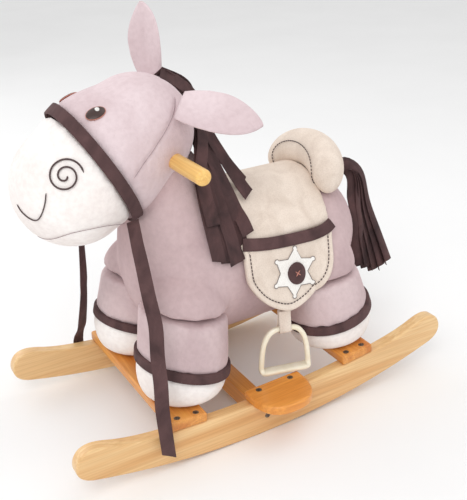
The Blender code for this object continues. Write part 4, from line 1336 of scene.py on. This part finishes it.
# %% Eyes, nostrils and smile
rims, balls, lights, lines = [], [], [], []
for side in (1, -1):
    place = frame_on(head_form, mirror_points(side, EYE_AT), mirror_points(side, EYE_ALONG))
    rims.append(domed_patch(head_form, place, oval(0.0272, 0.0186), 0.0003, 0.0001))
    balls.append(domed_patch(head_form, place, oval(0.0256, 0.0170), 0.0008, 0.0013))
    shine = oval(0.0056, 0.0068, 24, at=(0.0040, side * 0.0028))
    lights.append(domed_patch(head_form, place, shine, 0.0021, 0.0006, 4))
    at = np.add(NOSTRIL_AT, (0.0, 0.0, 0.0) if side > 0 else (0.006, 0.012, 0.0))
    place = frame_on(head_form, mirror_points(side, at), (0.0, 1.0, -0.12))
    turns = np.linspace(0, 1, 150)
    angle = turns * math.tau * 1.95
    reach = 0.0205 * (1 - turns) ** 0.85 + 0.0022
    drawing = np.stack([reach * np.cos(angle), side * reach * np.sin(angle)], axis=1)
    route = laid(head_form, place, drawing, 0.0002)
    lines.append(skin(thread(route, slope_of(head_form, route), 0.0012)))
    route = smooth_route([mirror_points(side, p) for p in (SMILE if side > 0 else SMILE[2:])], 60)
    normals = slope_of(head_form, route)
    route = route - normals * (head_form(route) - 0.0002)[:, None]
    lines.append(skin(thread(route, normals, 0.00085)))
joined("eye_rims", rims, thread_pink, "plush_head")
joined("satin_eyes", balls, eye_satin, "suede_brown")
joined("eye_highlights", lights, eye_white, "plush_white")
joined("nostril_and_smile_thread", lines, thread_dark, "suede_brown")
print("eye, nostril and smile are stitched on both sides")

# %% [markdown]
# ### Seam threads
#
# The seams over the cheeks and round the jaw were pressed in as grooves. A thin
# thread lies at the bottom of each, so that it reads as a sewn line up close.

# %% Seam threads in the grooves of head and muzzle
seams = []
for side in (1, -1):
    for line in (cheek_line, jaw_line):
        route = smooth_route([mirror_points(side, p) for p in line], 60)
        normals = slope_of(head_form, route)
        route = route - normals * (head_form(route) + 0.0010)[:, None]
        seams.append(skin(thread(route, normals, 0.00042, 6)))
joined("head_seam_threads", seams, thread_seam, "plush_head")
print(len(seams), "seams on head and muzzle")

# %% [markdown]
# ## The saddle
#
# The saddle is cream suede in four padded parts: a seat over the back, a flap down
# each side and a rolled cantle behind. Brown trim covers the joint between seat and
# flap. Each part is drawn flat, with an angle round the trunk as one measure and
# the length along the back as the other, and is then laid over the body.

# %% Angles round the trunk
SADDLE_AXIS_Z, FLAP_SPREAD = 0.232, 0.31
SEAT_EDGE = math.radians(67.5)


def round_trunk(angle, y):
    """Start points and directions for an angle round the trunk and a place along it."""
    angle, y = np.broadcast_arrays(np.asarray(angle, float), np.asarray(y, float))
    start = np.stack([np.zeros_like(y), y, np.full_like(y, SADDLE_AXIS_Z)], axis=-1)
    ways = np.stack([np.sin(angle), np.zeros_like(y), np.cos(angle)], axis=-1)
    return start, ways


def skirt_form(p):
    """Trunk and legs with their sides carried down and a little outward."""
    q = np.array(p, float)
    drop = np.maximum(0.0, SADDLE_AXIS_Z - q[..., 2])
    q[..., 0] = np.sign(q[..., 0]) * np.maximum(0.0, np.abs(q[..., 0]) - FLAP_SPREAD * drop)
    q[..., 2] = np.maximum(q[..., 2], SADDLE_AXIS_Z)
    below = body_form(p)
    for side in (-1, 1):
        for end in (-1, 1):
            below = merge(below, limb_form(p, side, end), 0.012)
    return np.minimum(body_form(q), below)


# %% The seat
SEAT_EDGE_THICK, SEAT_CROWN = 0.0030, 0.0045


def pad_between(inner, outer):
    """A closed pad from two equal grids of points."""
    rows, columns = inner.shape[:2]
    size = rows * columns
    faces = []
    for r in range(rows - 1):
        for c in range(columns - 1):
            a, b = r * columns + c, r * columns + c + 1
            d, e = a + columns, b + columns
            faces += [[a, b, e, d], [size + a, size + d, size + e, size + b]]
    edge = list(range(columns)) + [r * columns + columns - 1 for r in range(1, rows)]
    edge += [(rows - 1) * columns + c for c in range(columns - 2, -1, -1)]
    edge += [r * columns for r in range(rows - 2, 0, -1)]
    for i, a in enumerate(edge):
        b = edge[(i + 1) % len(edge)]
        faces.append([a, size + a, size + b, b])
    return np.concatenate([inner.reshape(-1, 3), outer.reshape(-1, 3)]), faces


def sew_seat():
    across = np.linspace(-1, 1, 72)[:, None]
    share = np.linspace(0, 1, 40)[None, :]
    front, rear = -0.006 - 0.015 * across ** 2, 0.150 - 0.020 * across ** 2
    start, ways = round_trunk(across * SEAT_EDGE, front + (rear - front) * share)
    skin_of_back = surface(body_form, start, ways, 0.0)
    shape = (1 - across ** 8) ** 0.5 * (1 - (2 * share - 1) ** 8) ** 0.5
    sunk = sat_in(start + ways * skin_of_back[..., None])
    inner = start + ways * (skin_of_back - sunk)[..., None]
    outer = start + ways * (skin_of_back - sunk + SEAT_EDGE_THICK + SEAT_CROWN * shape)[..., None]
    return pad_between(inner, outer)


seat = plump("padded_seat", [sew_seat()], voxel=0.0035, travel=0.0018, pressure=5.0)
soft_piece(seat, suede_cream, "suede_cream", ["saddle_seat"])

# %% [markdown]
# ### Flaps
#
# A flap is a shield shape. Its outline is one smooth closed curve; copies of it
# shrunk toward the middle give rings of points, so the edge stays clean. The pad is
# thin, has a rolled rim and a groove 9 mm in, where the stitching pulls it down.

# %% The flap's outline
FLAP_OUTLINE = [(62, -20), (70, -20.7), (80, -21.5), (90, -20), (98, -13), (105, -1),
                (110, 16), (113, 37), (112, 60), (108, 84), (100, 104), (89, 119),
                (76, 128), (65.5, 130)]
FLAP_MIDDLE = (84.0, 54.0)
MM_PER_DEGREE = 2.15
SKIRT_AWAY = 0.0022  # the flap hangs this far off the trunk


def flap_flat(count):
    """The outline as (down the side, along the back), both in mm of cloth."""
    p = np.array(FLAP_OUTLINE, float) - np.array(FLAP_MIDDLE)
    p[:, 0] *= MM_PER_DEGREE
    top = p[-1], p[0]
    extra = [top[0] + (top[1] - top[0]) * t + np.array((4 * MM_PER_DEGREE, 0))
             * math.sin(math.pi * t) for t in (0.25, 0.5, 0.75)]
    return smooth_route(np.concatenate([p, extra]), count, closed=True)


def on_flap(side, flat, lift):
    """Flat flap measures laid over the skirt of the body at a height."""
    flat = np.asarray(flat, float)
    angle = np.radians(flat[..., 0] / MM_PER_DEGREE + FLAP_MIDDLE[0]) * side
    start, ways = round_trunk(angle, (flat[..., 1] + FLAP_MIDDLE[1]) / 1000)
    far = surface(skirt_form, start, ways, SKIRT_AWAY, steps=70)
    return start + ways * (far + np.asarray(lift))[..., None]


# %% Roll, groove and pad
SEAM_IN = 8.8  # mm from the flap's edge to its stitched groove
FLAP_UNDER, FLAP_CROWN = -0.0006, 0.0055


def edge_gap(flat, outline):
    """Distance in mm from flat points to the outline."""
    a, b = outline, np.roll(outline, -1, axis=0)
    d = b - a
    t = np.clip(((flat[:, None, :] - a) * d).sum(-1) / (d * d).sum(-1), 0, 1)
    return np.linalg.norm(flat[:, None, :] - (a + t[..., None] * d), axis=-1).min(axis=1)


def flap_height(gap):
    """Thickness in metres at a distance in mm from the edge: roll, groove, pad."""
    roll = np.sqrt(np.clip(gap / 3.2, 0, 1))
    groove = np.exp(-(((gap - SEAM_IN) / 1.7) ** 2))
    return 0.0062 * roll - 0.0022 * groove - 0.0007 * np.clip((gap - 8) / 6, 0, 1)


outline_flat = flap_flat(150)
shares = 1 - np.array([0, .012, .03, .055, .08, .10, .12, .14, .165, .20, .26, .34, .44,
                       .56, .70, .85])


def flap_pad(side):
    """Points and faces of a flap: an upper and a lower layer which share the outline."""
    flats = np.stack([outline_flat * s for s in shares])
    gaps = np.stack([edge_gap(f, outline_flat) for f in flats])
    gaps[0] = 0
    outer = on_flap(side, flats, flap_height(gaps))
    inner = on_flap(side, flats, np.full_like(gaps, FLAP_UNDER))
    outer[0] = (outer[0] + inner[0]) / 2
    size, rows = len(outline_flat), len(shares)
    tips = [on_flap(side, np.zeros((1, 2)), lift) for lift in (FLAP_CROWN, FLAP_UNDER)]
    points = np.concatenate([outer.reshape(-1, 3), inner[1:].reshape(-1, 3), *tips])
    faces = []
    for layer in (0, 1):
        ring = [list(range(size))]
        base = 0 if layer == 0 else (rows - 1) * size
        ring += [list(range(base + r * size, base + (r + 1) * size)) for r in range(1, rows)]
        for r in range(rows - 1):
            for i in range(size):
                j = (i + 1) % size
                faces.append([ring[r][i], ring[r][j], ring[r + 1][j], ring[r + 1][i]])
        tip = len(points) - 2 + layer
        faces += [[ring[-1][i], ring[-1][(i + 1) % size], tip] for i in range(size)]
    return points, faces


# %% Sew the flaps
for side, hand in ((1, "left"), (-1, "right")):
    flap = piece(f"padded_flap_{hand}", *flap_pad(side), suede_cream, "suede_cream",
                 [f"saddle_flap_{hand}"])
print("flap outline:", np.ptp(outline_flat, axis=0).round(), "mm of cloth")

# %% [markdown]
# ### Cantle
#
# The roll behind the seat is a crescent bolster: thick in the middle, its ends drawn
# forward and down to points. Its rings are swept along an arc, then it is filled
# like the other stuffed parts.

# %% The cantle
def cantle_ring(t, steps, grow=1.0):
    """Ring of the bolster at t from -1 to 1, and the directions at its middle."""
    a = t * math.radians(95)
    middle = np.array((0.004 + 0.066 * math.sin(a), 0.170 - 0.026 * (1 - math.cos(a)),
                       0.3555 - 0.040 * (1 - math.cos(a))))
    way = unit((0.066 * math.cos(a), -0.026 * math.sin(a), -0.040 * math.sin(a)))
    front = unit(np.cross(way, (0, 0, 1)))
    up = np.cross(front, way)
    radius = grow * 0.0290 * math.sqrt(max(0.004, 1 - abs(t) ** 3.2))
    ring = [middle + radius * (front * math.cos(b) + up * math.sin(b) * 1.08)
            for b in np.linspace(0, math.tau, steps, endpoint=False)]
    return ring, middle, front, up, radius


cantle = plump("padded_cantle", [skin([cantle_ring(t, 36, 0.96)[0]
                                       for t in np.sin(np.linspace(-1, 1, 45) * math.pi / 2)])],
               voxel=0.004, travel=0.0026, pressure=5.0)
soft_piece(cantle, suede_cream, "suede_cream", ["saddle_cantle"])

# %% [markdown]
# ### Trim bands
#
# A brown band, 18 mm wide, runs along the top of each flap and dips in the middle.
# It is laid by the same measures as the flap, so it follows the flap's curve.

# %% The trim bands
TRIM_MIDDLE = [(62.8, -20.0), (65.5, 4), (67.3, 25), (69.0, 60), (70.0, 95), (68.8, 118),
               (66.2, 131)]


TRIM_HALF_MM = 8.9


def trim_band(side):
    line = smooth_route([((a - FLAP_MIDDLE[0]) * MM_PER_DEGREE, y - FLAP_MIDDLE[1])
                         for a, y in TRIM_MIDDLE], 70)
    ways = unit(np.gradient(line, axis=0))
    square = np.stack([-ways[:, 1], ways[:, 0]], axis=1)
    profile = [(-1.0, 0.0050), (1.0, 0.0050), (1.03, 0.0066), (0.93, 0.0080), (0.5, 0.0084),
               (0.0, 0.0085), (-0.5, 0.0084), (-0.93, 0.0080), (-1.03, 0.0066)]
    rows = [on_flap(side, line + square * (x * TRIM_HALF_MM), lift) for x, lift in profile]
    return skin(np.stack(rows, axis=1).tolist())


for side, hand in ((1, "left"), (-1, "right")):
    piece(f"flap_trim_{hand}", *trim_band(side), suede_brown, "suede_brown")
print("trim is", 2 * TRIM_HALF_MM, "mm wide")

# %% [markdown]
# ### Stitching
#
# A running stitch repeats a dash of thread at an even pitch. The seam is a bare line
# of edges; the tree turns it into a curve, cuts it to the pitch and sets one short
# capsule on each point, turned along the seam.

# %% Running stitches by Geometry Nodes
DASH_SIDES = 7


def stitch_tree():
    tree, start, end = tree_with("running_stitch", [
        ("Pitch", "NodeSocketFloat", 0.0053), ("Stitch Length", "NodeSocketFloat", 0.0034),
        ("Thread Radius", "NodeSocketFloat", 0.0008), ("Finish", "NodeSocketMaterial", None)])
    new, join = tree.nodes.new, tree.links.new
    curve = new("GeometryNodeMeshToCurve")
    join(start.outputs["Geometry"], curve.inputs["Mesh"])
    even = new("GeometryNodeResampleCurve")
    even.mode = "LENGTH"
    join(curve.outputs["Curve"], even.inputs["Curve"])
    join(start.outputs["Pitch"], even.inputs["Length"])
    dash = new("GeometryNodeMeshCylinder")
    dash.inputs["Vertices"].default_value = DASH_SIDES
    dash.inputs["Side Segments"].default_value = 2
    join(start.outputs["Thread Radius"], dash.inputs["Radius"])
    join(start.outputs["Stitch Length"], dash.inputs["Depth"])
    way = new("GeometryNodeInputTangent")
    set_down(tree, dash.outputs["Mesh"], even.outputs["Curve"], way.outputs["Tangent"],
             start, end)
    return tree


def stitched(name, seams, finish, slot):
    """Lines of points become one object of running stitches."""
    points, edges = [], []
    for seam in seams:
        offset = len(points)
        points += [tuple(map(float, p)) for p in settle(seam)]
        edges += [(offset + i, offset + i + 1) for i in range(len(seam) - 1)]
    mesh = bpy.data.meshes.new(name)
    mesh.from_pydata(points, edges, [])
    obj = grown(link(name, mesh), stitch_tree(), {"Finish": finish})
    print(name, "has", len(obj.data.vertices) // (3 * DASH_SIDES), "stitches")
    return dressed(obj, finish, slot)


# %% Stitch the saddle
def flap_seam(side):
    """The line in the flap's groove, where it isn't under the trim."""
    ways = unit(np.roll(outline_flat, -1, axis=0) - np.roll(outline_flat, 1, axis=0))
    inward = np.stack([ways[:, 1], -ways[:, 0]], axis=1)
    if ((outline_flat * inward).sum(axis=1) > 0).mean() > 0.5:
        inward = -inward
    line = outline_flat + inward * SEAM_IN
    keep = line[outline_flat[:, 0] > (70.5 - FLAP_MIDDLE[0]) * MM_PER_DEGREE]
    gaps = np.linalg.norm(np.diff(keep, axis=0), axis=1)
    keep = np.roll(keep, -(int(np.argmax(gaps)) + 1), axis=0) if gaps.max() > 20 else keep
    return on_flap(side, keep, 0.0048)


def cantle_seam():
    line = []
    for t in np.linspace(-0.90, 0.93, 90):
        _, middle, front, up, radius = cantle_ring(t, 4)
        b = math.radians(30 - 6 * t)
        line.append(middle + (radius + 0.0006) * (front * math.cos(b) + up * math.sin(b) * 1.08))
    return np.array(line)


stitched("saddle_stitching", [flap_seam(1), flap_seam(-1), cantle_seam()], thread_dark,
         "suede_brown")

# %% [markdown]
# ### Star and button
#
# A white six-pointed star with little ball tips is appliqued on each flap, edged
# with grey thread, and an oval suede button with a rose cross stitch sits on it.

# %% The star's outline
def star_outline(radius, waist, ball, turn):
    """A closed star whose points end in small round balls."""
    found = []
    for k in range(6):
        a = turn + math.tau * k / 6
        tip = np.array((math.cos(a), math.sin(a))) * (radius - ball)
        spread = math.asin(0.55)
        for b in np.linspace(-math.pi + spread + 0.35, math.pi - spread - 0.35, 11):
            found.append(tip + ball * np.array((math.cos(a + b), math.sin(a + b))))
        a += math.tau / 12
        found.append(np.array((math.cos(a), math.sin(a))) * waist)
    return np.array(found)


def flap_surface(p):
    """Height over the padded flap's face near its middle."""
    return skirt_form(p) - 0.0078


# %% Star, edging and button
STAR_AT = (0.1215, 0.0535, 0.2285)
stars, edges, buttons, crosses = [], [], [], []
for side in (1, -1):
    near = mirror_points(side, STAR_AT)
    middle = near - slope_of(flap_surface, near) * flap_surface(near)
    place = frame_on(flap_surface, middle, (0.0, 1.0, 0.0))
    turn = side * math.radians(79)
    outline = star_outline(0.0378, 0.0225, 0.0033, turn)
    outline = outline if side > 0 else outline[::-1]
    stars.append(domed_patch(flap_surface, place, outline, 0.0012, 0.0002, 5, 0.0030))
    ring = laid(flap_surface, place, np.concatenate([outline, outline[:1]]), 0.0010)
    edges.append(skin(thread(ring, slope_of(flap_surface, ring), 0.0006, 6)))
    at = (0.0035, side * -0.0025)
    buttons.append(domed_patch(flap_surface, place, oval(0.0290, 0.0325, 44, at=at), 0.0034,
                               0.0026, 8, 0.0010))
    for tilt in (0.75, -0.75):
        bar = np.outer(np.linspace(-1, 1, 12), (math.cos(tilt), math.sin(tilt))) * 0.0052
        line = laid(flap_surface, place, bar + np.array(at), 0.0061)
        crosses.append(skin(thread(line, slope_of(flap_surface, line), 0.0008)))
star_patches = joined("appliqued_stars", stars, suede_white, "suede_cream")
star_patches.data.set_sharp_from_angle(angle=math.radians(35))
joined("star_edging", edges, thread_grey, "suede_cream")
joined("oval_buttons", buttons, suede_brown, "suede_brown")
joined("button_cross_stitches", crosses, thread_pink, "suede_brown")
print(len(stars), "stars with", len(star_outline(0.0378, 0.0225, 0.0033, 0.0)), "outline points")

# %% [markdown]
# ## Mane and tail
#
# Both are bundles of suede strips about 20 mm wide with plain cut ends. Each strip
# follows a smooth line from where it is sewn to where it ends, and wherever the line
# would run into the head, the trunk or the seat it is pushed out and smoothed again.
# So a strip bends over the nape and then hangs free, and the strips lie in layers.

# %% Lay a strip over what is under it
STRIP_THICK, SEAT_STANDS = 0.0013, 0.0040


def carrying(p):
    """What the strips fall on: head, trunk and the seat pad."""
    solid = merge(head_form(p), body_form(p), 0.020)
    on_seat = body_form(p) - SEAT_STANDS
    return np.where((p[..., 1] > -0.012) & (p[..., 2] > 0.26), np.minimum(solid, on_seat), solid)


def eased(route, lift, count=34):
    """A smooth line through a few points, pushed out to a height over the toy."""
    line = smooth_route(route, count)
    for _ in range(3):
        gap = carrying(line)
        line = line + slope_of(carrying, line) * np.maximum(0.0, lift - gap)[:, None]
        line[1:-1] = line[1:-1] * 0.5 + (line[:-2] + line[2:]) * 0.25
    return line


def bundle(name, strips, slot_nodes):
    """One object of many strips, each (line, outer side, width, cup, slant of its end)."""
    parts, area = [], 0.0
    for line, outs, width, cup, slant in strips:
        parts.append(skin(flat_strap(line, outs, width, STRIP_THICK, cup, slant)))
        area += width * np.linalg.norm(np.diff(line, axis=0), axis=1).sum()
    obj = joined(name, parts, suede_hair, "suede_brown")
    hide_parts(*slot_nodes)
    print(name, "has", len(strips), "strips,", round(area, 4), "square metres")
    return obj


# %% [markdown]
# ### The mane
#
# Nine strips fall to each side. The first ones hang over the nape toward the seat,
# the others down the side of the neck, and the last lies over them. The right side
# is the left one mirrored, a little disturbed, so that the halves are not alike.

# %% The mane
# Each is a lift over what lies below, then the strip's line on the left side.
MANE_ROUTES = [
    (0.0035, [(0.004, -0.068, 0.515), (0.012, -0.030, 0.482), (0.024, -0.020, 0.435),
              (0.042, -0.001, 0.385), (0.062, 0.020, 0.336)]),
    (0.0030, [(0.002, -0.064, 0.512), (0.004, -0.028, 0.478), (0.012, -0.014, 0.435),
              (0.026, 0.003, 0.388), (0.040, 0.026, 0.347)]),
    (0.0060, [(0.004, -0.052, 0.502), (0.022, -0.034, 0.440), (0.050, -0.022, 0.385),
              (0.080, -0.014, 0.335), (0.100, -0.010, 0.297)]),
    (0.0028, [(0.002, -0.048, 0.495), (0.024, -0.036, 0.430), (0.054, -0.030, 0.378),
              (0.084, -0.022, 0.330), (0.106, -0.020, 0.284)]),
    (0.0030, [(0.003, -0.036, 0.430), (0.045, -0.025, 0.380), (0.082, -0.020, 0.330),
              (0.112, -0.020, 0.268)]),
    (0.0050, [(0.003, -0.038, 0.440), (0.045, -0.036, 0.395), (0.085, -0.036, 0.335),
              (0.113, -0.035, 0.266)]),
    (0.0028, [(0.003, -0.036, 0.450), (0.045, -0.044, 0.400), (0.085, -0.048, 0.335),
              (0.112, -0.047, 0.270)]),
    (0.0048, [(0.003, -0.036, 0.460), (0.045, -0.050, 0.405), (0.085, -0.058, 0.340),
              (0.112, -0.060, 0.276)]),
    (0.0085, [(0.004, -0.040, 0.472), (0.038, -0.050, 0.420), (0.068, -0.055, 0.372),
              (0.094, -0.056, 0.321)]),
]
rng = np.random.default_rng(7)
mane_strips = []
for side in (1, -1):
    for lift, route in MANE_ROUTES:
        wobble = rng.uniform(-1, 1, 3)
        points = np.array(route) * np.array((side, 1, 1))
        if side < 0:
            points[1:] += np.array((0.0, 0.004, 0.006)) * wobble[0]
        line = eased(points, lift + (0.0008 if side > 0 else 0.0))
        outs = unit(slope_of(carrying, line) * 0.8 + np.array((side * 1.2, -0.15, 0.45)))
        mane_strips.append((line, outs, 0.0195, 0.0012 * wobble[1], 0.35 * wobble[2]))
bundle("suede_mane", mane_strips, ["mane"])

# %% [markdown]
# ### The tail
#
# Nine strips leave one point above the rump, rise a little, and fan out as they fall
# behind the left hind leg. Every second one lies further out and is cupped the other
# way, so the bundle has depth.

# %% The tail
TAIL_STRIPS = 9
tail_strips = []
for k in range(TAIL_STRIPS):
    u = (k + 0.5) / TAIL_STRIPS
    layer = 0.004 * (k % 2)
    root = np.array((0.014 - 0.016 * u, 0.2035, 0.3020))
    crest = np.array((0.013 - 0.014 * u, 0.2240 + layer, 0.3185))
    neck = np.array((0.028 - 0.012 * u, 0.2300 + 0.020 * u + layer, 0.3000 + 0.004 * u))
    knee = np.array((0.050 - 0.030 * u, 0.2080 + 0.056 * u + layer, 0.2520 - 0.006 * u))
    foot = np.array((0.062 - 0.016 * u, 0.2130 + 0.076 * u + layer,
                     0.1600 - 0.020 * u + 0.006 * math.sin(7 * u + 1)))
    line = eased([root, crest, neck, knee, knee * 0.45 + foot * 0.55, foot], 0.0035 + layer)
    outs = np.repeat(unit((0.9, 0.25 + 0.30 * u + (0.40 if k % 2 else -0.35), 0.1))[None],
                     len(line), axis=0)
    tail_strips.append((line, outs, 0.022, 0.0030 * (1 if k % 2 else -1), 0.15 * math.sin(3 * k)))
bundle("suede_tail", tail_strips, ["tail"])

# %% [markdown]
# ## Stirrups
#
# Each stirrup is one moulded loop of ivory plastic: a round bar at the top which
# turns in a fabric loop, two splayed legs and a wide flat tread. A rounded profile
# is swept round the loop and grows wider where it becomes the tread. Its swing is
# about the bar, so it rides on its own body while the fabric loop stays on the toy.

# %% Mould a stirrup
STIRRUP_AT, STIRRUP_YAW = (0.124, 0.031, 0.1455), math.radians(14)
LOOP_STEPS = 130


def hung(side):
    """From the stirrup's own measures to its place under the flap, hanging plumb."""
    origin = settle(mirror_points(side, STIRRUP_AT))
    c, s = math.cos(STIRRUP_YAW), side * math.sin(STIRRUP_YAW)

    def place(p):
        p = np.asarray(p, float)
        return np.stack([p[..., 0] * c + p[..., 1] * s, -p[..., 0] * s + p[..., 1] * c,
                         p[..., 2]], axis=-1) + origin

    return place


def stirrup_rings():
    """Profiles round the loop; the tread is wider, with fine grip ribs under the foot."""
    right = [(0.0, 0.0), (0.010, 0.0), (0.0172, -0.0018), (0.0238, -0.0070)]
    right += [(0.0300, -0.0175), (0.0336, -0.0320), (0.0354, -0.0480), (0.0362, -0.0610)]
    right += [(0.0350, -0.0672), (0.0300, -0.0690), (0.0150, -0.0690)]
    loop = right + [(0.0, -0.0690)] + [(-y, z) for y, z in right[:0:-1]]
    path = smooth_route(loop, LOOP_STEPS, closed=True)
    rings = []
    for i, (y, z) in enumerate(path):
        ahead, behind = path[(i + 1) % LOOP_STEPS], path[i - 1]
        way = unit((0.0, ahead[0] - behind[0], ahead[1] - behind[1]))
        out = np.cross(way, (1.0, 0, 0))
        tread = np.clip((-z - 0.0610) / 0.006, 0, 1)
        tread = tread * tread * (3 - 2 * tread)
        wide, deep = 0.0040 + 0.0046 * tread, 0.0039
        grip = 0.0004 * tread * (0.5 + 0.5 * math.cos(y * math.tau / 0.0042))
        ring = []
        for b in np.linspace(0, math.tau, 20, endpoint=False):
            cx, cz = math.cos(b), math.sin(b)
            power = 0.55 + 0.25 * (1 - tread)
            cx, cz = (math.copysign(abs(v) ** power, v) for v in (cx, cz))
            inside = grip if cz > 0.6 else 0.0
            ring.append(np.array((wide * cx, y, z)) + out * (deep * cz - inside))
        rings.append(ring)
    return rings


# %% Sew the loop it hangs from
def strap_loop():
    """The fabric loop in its own X-Z plane, swept across its width."""
    line = [(0.0031, 0.0300), (0.0034, 0.0200), (0.0050, 0.0100)]
    line += [(0.0064 * math.cos(a), 0.0064 * math.sin(a))
             for a in np.linspace(0.35, -math.pi - 0.35, 17)]
    line += [(-0.0050, 0.0100), (-0.0034, 0.0200), (-0.0031, 0.0300)]
    line = smooth_route(line, 60)
    way = unit(np.gradient(line, axis=0))
    side = np.stack([-way[:, 1], way[:, 0]], axis=1)
    profile = [(-0.0090, 0.0), (-0.0086, 0.0007), (0.0086, 0.0007), (0.0090, 0.0),
               (0.0086, -0.0007), (-0.0086, -0.0007)]
    return [[(x + sx * lift, y, z + sz * lift) for y, lift in profile]
            for (x, z), (sx, sz) in zip(line, side)]


# %% Hang the stirrups
for side, hand in ((1, "left"), (-1, "right")):
    place = hung(side)
    piece(f"moulded_stirrup_{hand}", *skin(stirrup_rings(), True), plastic, "ivory_plastic",
          [f"stirrup_{hand}"], f"stirrup_{hand}", at_rest=place)
    piece(f"stirrup_loop_{hand}", *skin(strap_loop()), suede_cream, "suede_cream",
          [f"stirrup_strap_{hand}"], at_rest=place)
    print(f"stirrup_{hand} hangs from", place((0, 0, 0)).round(4))

# %% [markdown]
# ## Floor and light
#
# A pale floor and three large soft lamps, as in a catalogue studio: one high on the
# left, a weaker one on the right to open the shadows, and one overhead.

# %% Floor and lamps
def studio():
    mesh = bpy.data.meshes.new("studio_floor")
    span = 6.0
    mesh.from_pydata([(-span, -span, -0.0002), (span, -span, -0.0002), (span, span, -0.0002),
                      (-span, span, -0.0002)], [], [[0, 1, 2, 3]])
    floor = link("studio_floor", mesh)
    pale = new_finish("pale_floor", (0.93, 0.93, 0.93, 1), 0.9)
    tone = noise(pale, 3.0, 2.0)
    shades = [(0.3, (0.92, 0.92, 0.92, 1)), (0.7, (0.94, 0.94, 0.94, 1))]
    colour_from(pale, ramp(pale, tone, shades))
    mesh.materials.append(pale)
    world = bpy.data.worlds.new("studio_air")
    world.use_nodes = True
    world.node_tree.nodes["Background"].inputs["Color"].default_value = (1, 1, 1, 1)
    world.node_tree.nodes["Background"].inputs["Strength"].default_value = 0.78
    bpy.context.scene.world = world
    aim = Vector((0, 0, 0.25))
    for name, at, size, power in (("key_lamp", (1.5, -1.2, 2.0), 1.4, 21),
                                  ("fill_lamp", (-1.8, -1.0, 1.4), 1.8, 11),
                                  ("top_lamp", (0.3, 1.0, 2.4), 1.6, 8)):
        lamp = bpy.data.lights.new(name, "AREA")
        lamp.size, lamp.energy = size, power
        obj = bpy.data.objects.new(name, lamp)
        obj.location = at
        obj.rotation_euler = (aim - Vector(at)).to_track_quat("-Z", "Y").to_euler()
        bpy.context.scene.collection.objects.link(obj)


studio()
print("lamps:", [lamp.name for lamp in bpy.data.lights])
bpy.context.scene.view_settings.view_transform = "Standard"

# %% [markdown]
# ## Finish
#
# The view layer is brought up to date once more. The dressed toy has to stay in
# the space of the measured frame.

# %% Finish
bpy.context.view_layer.update()
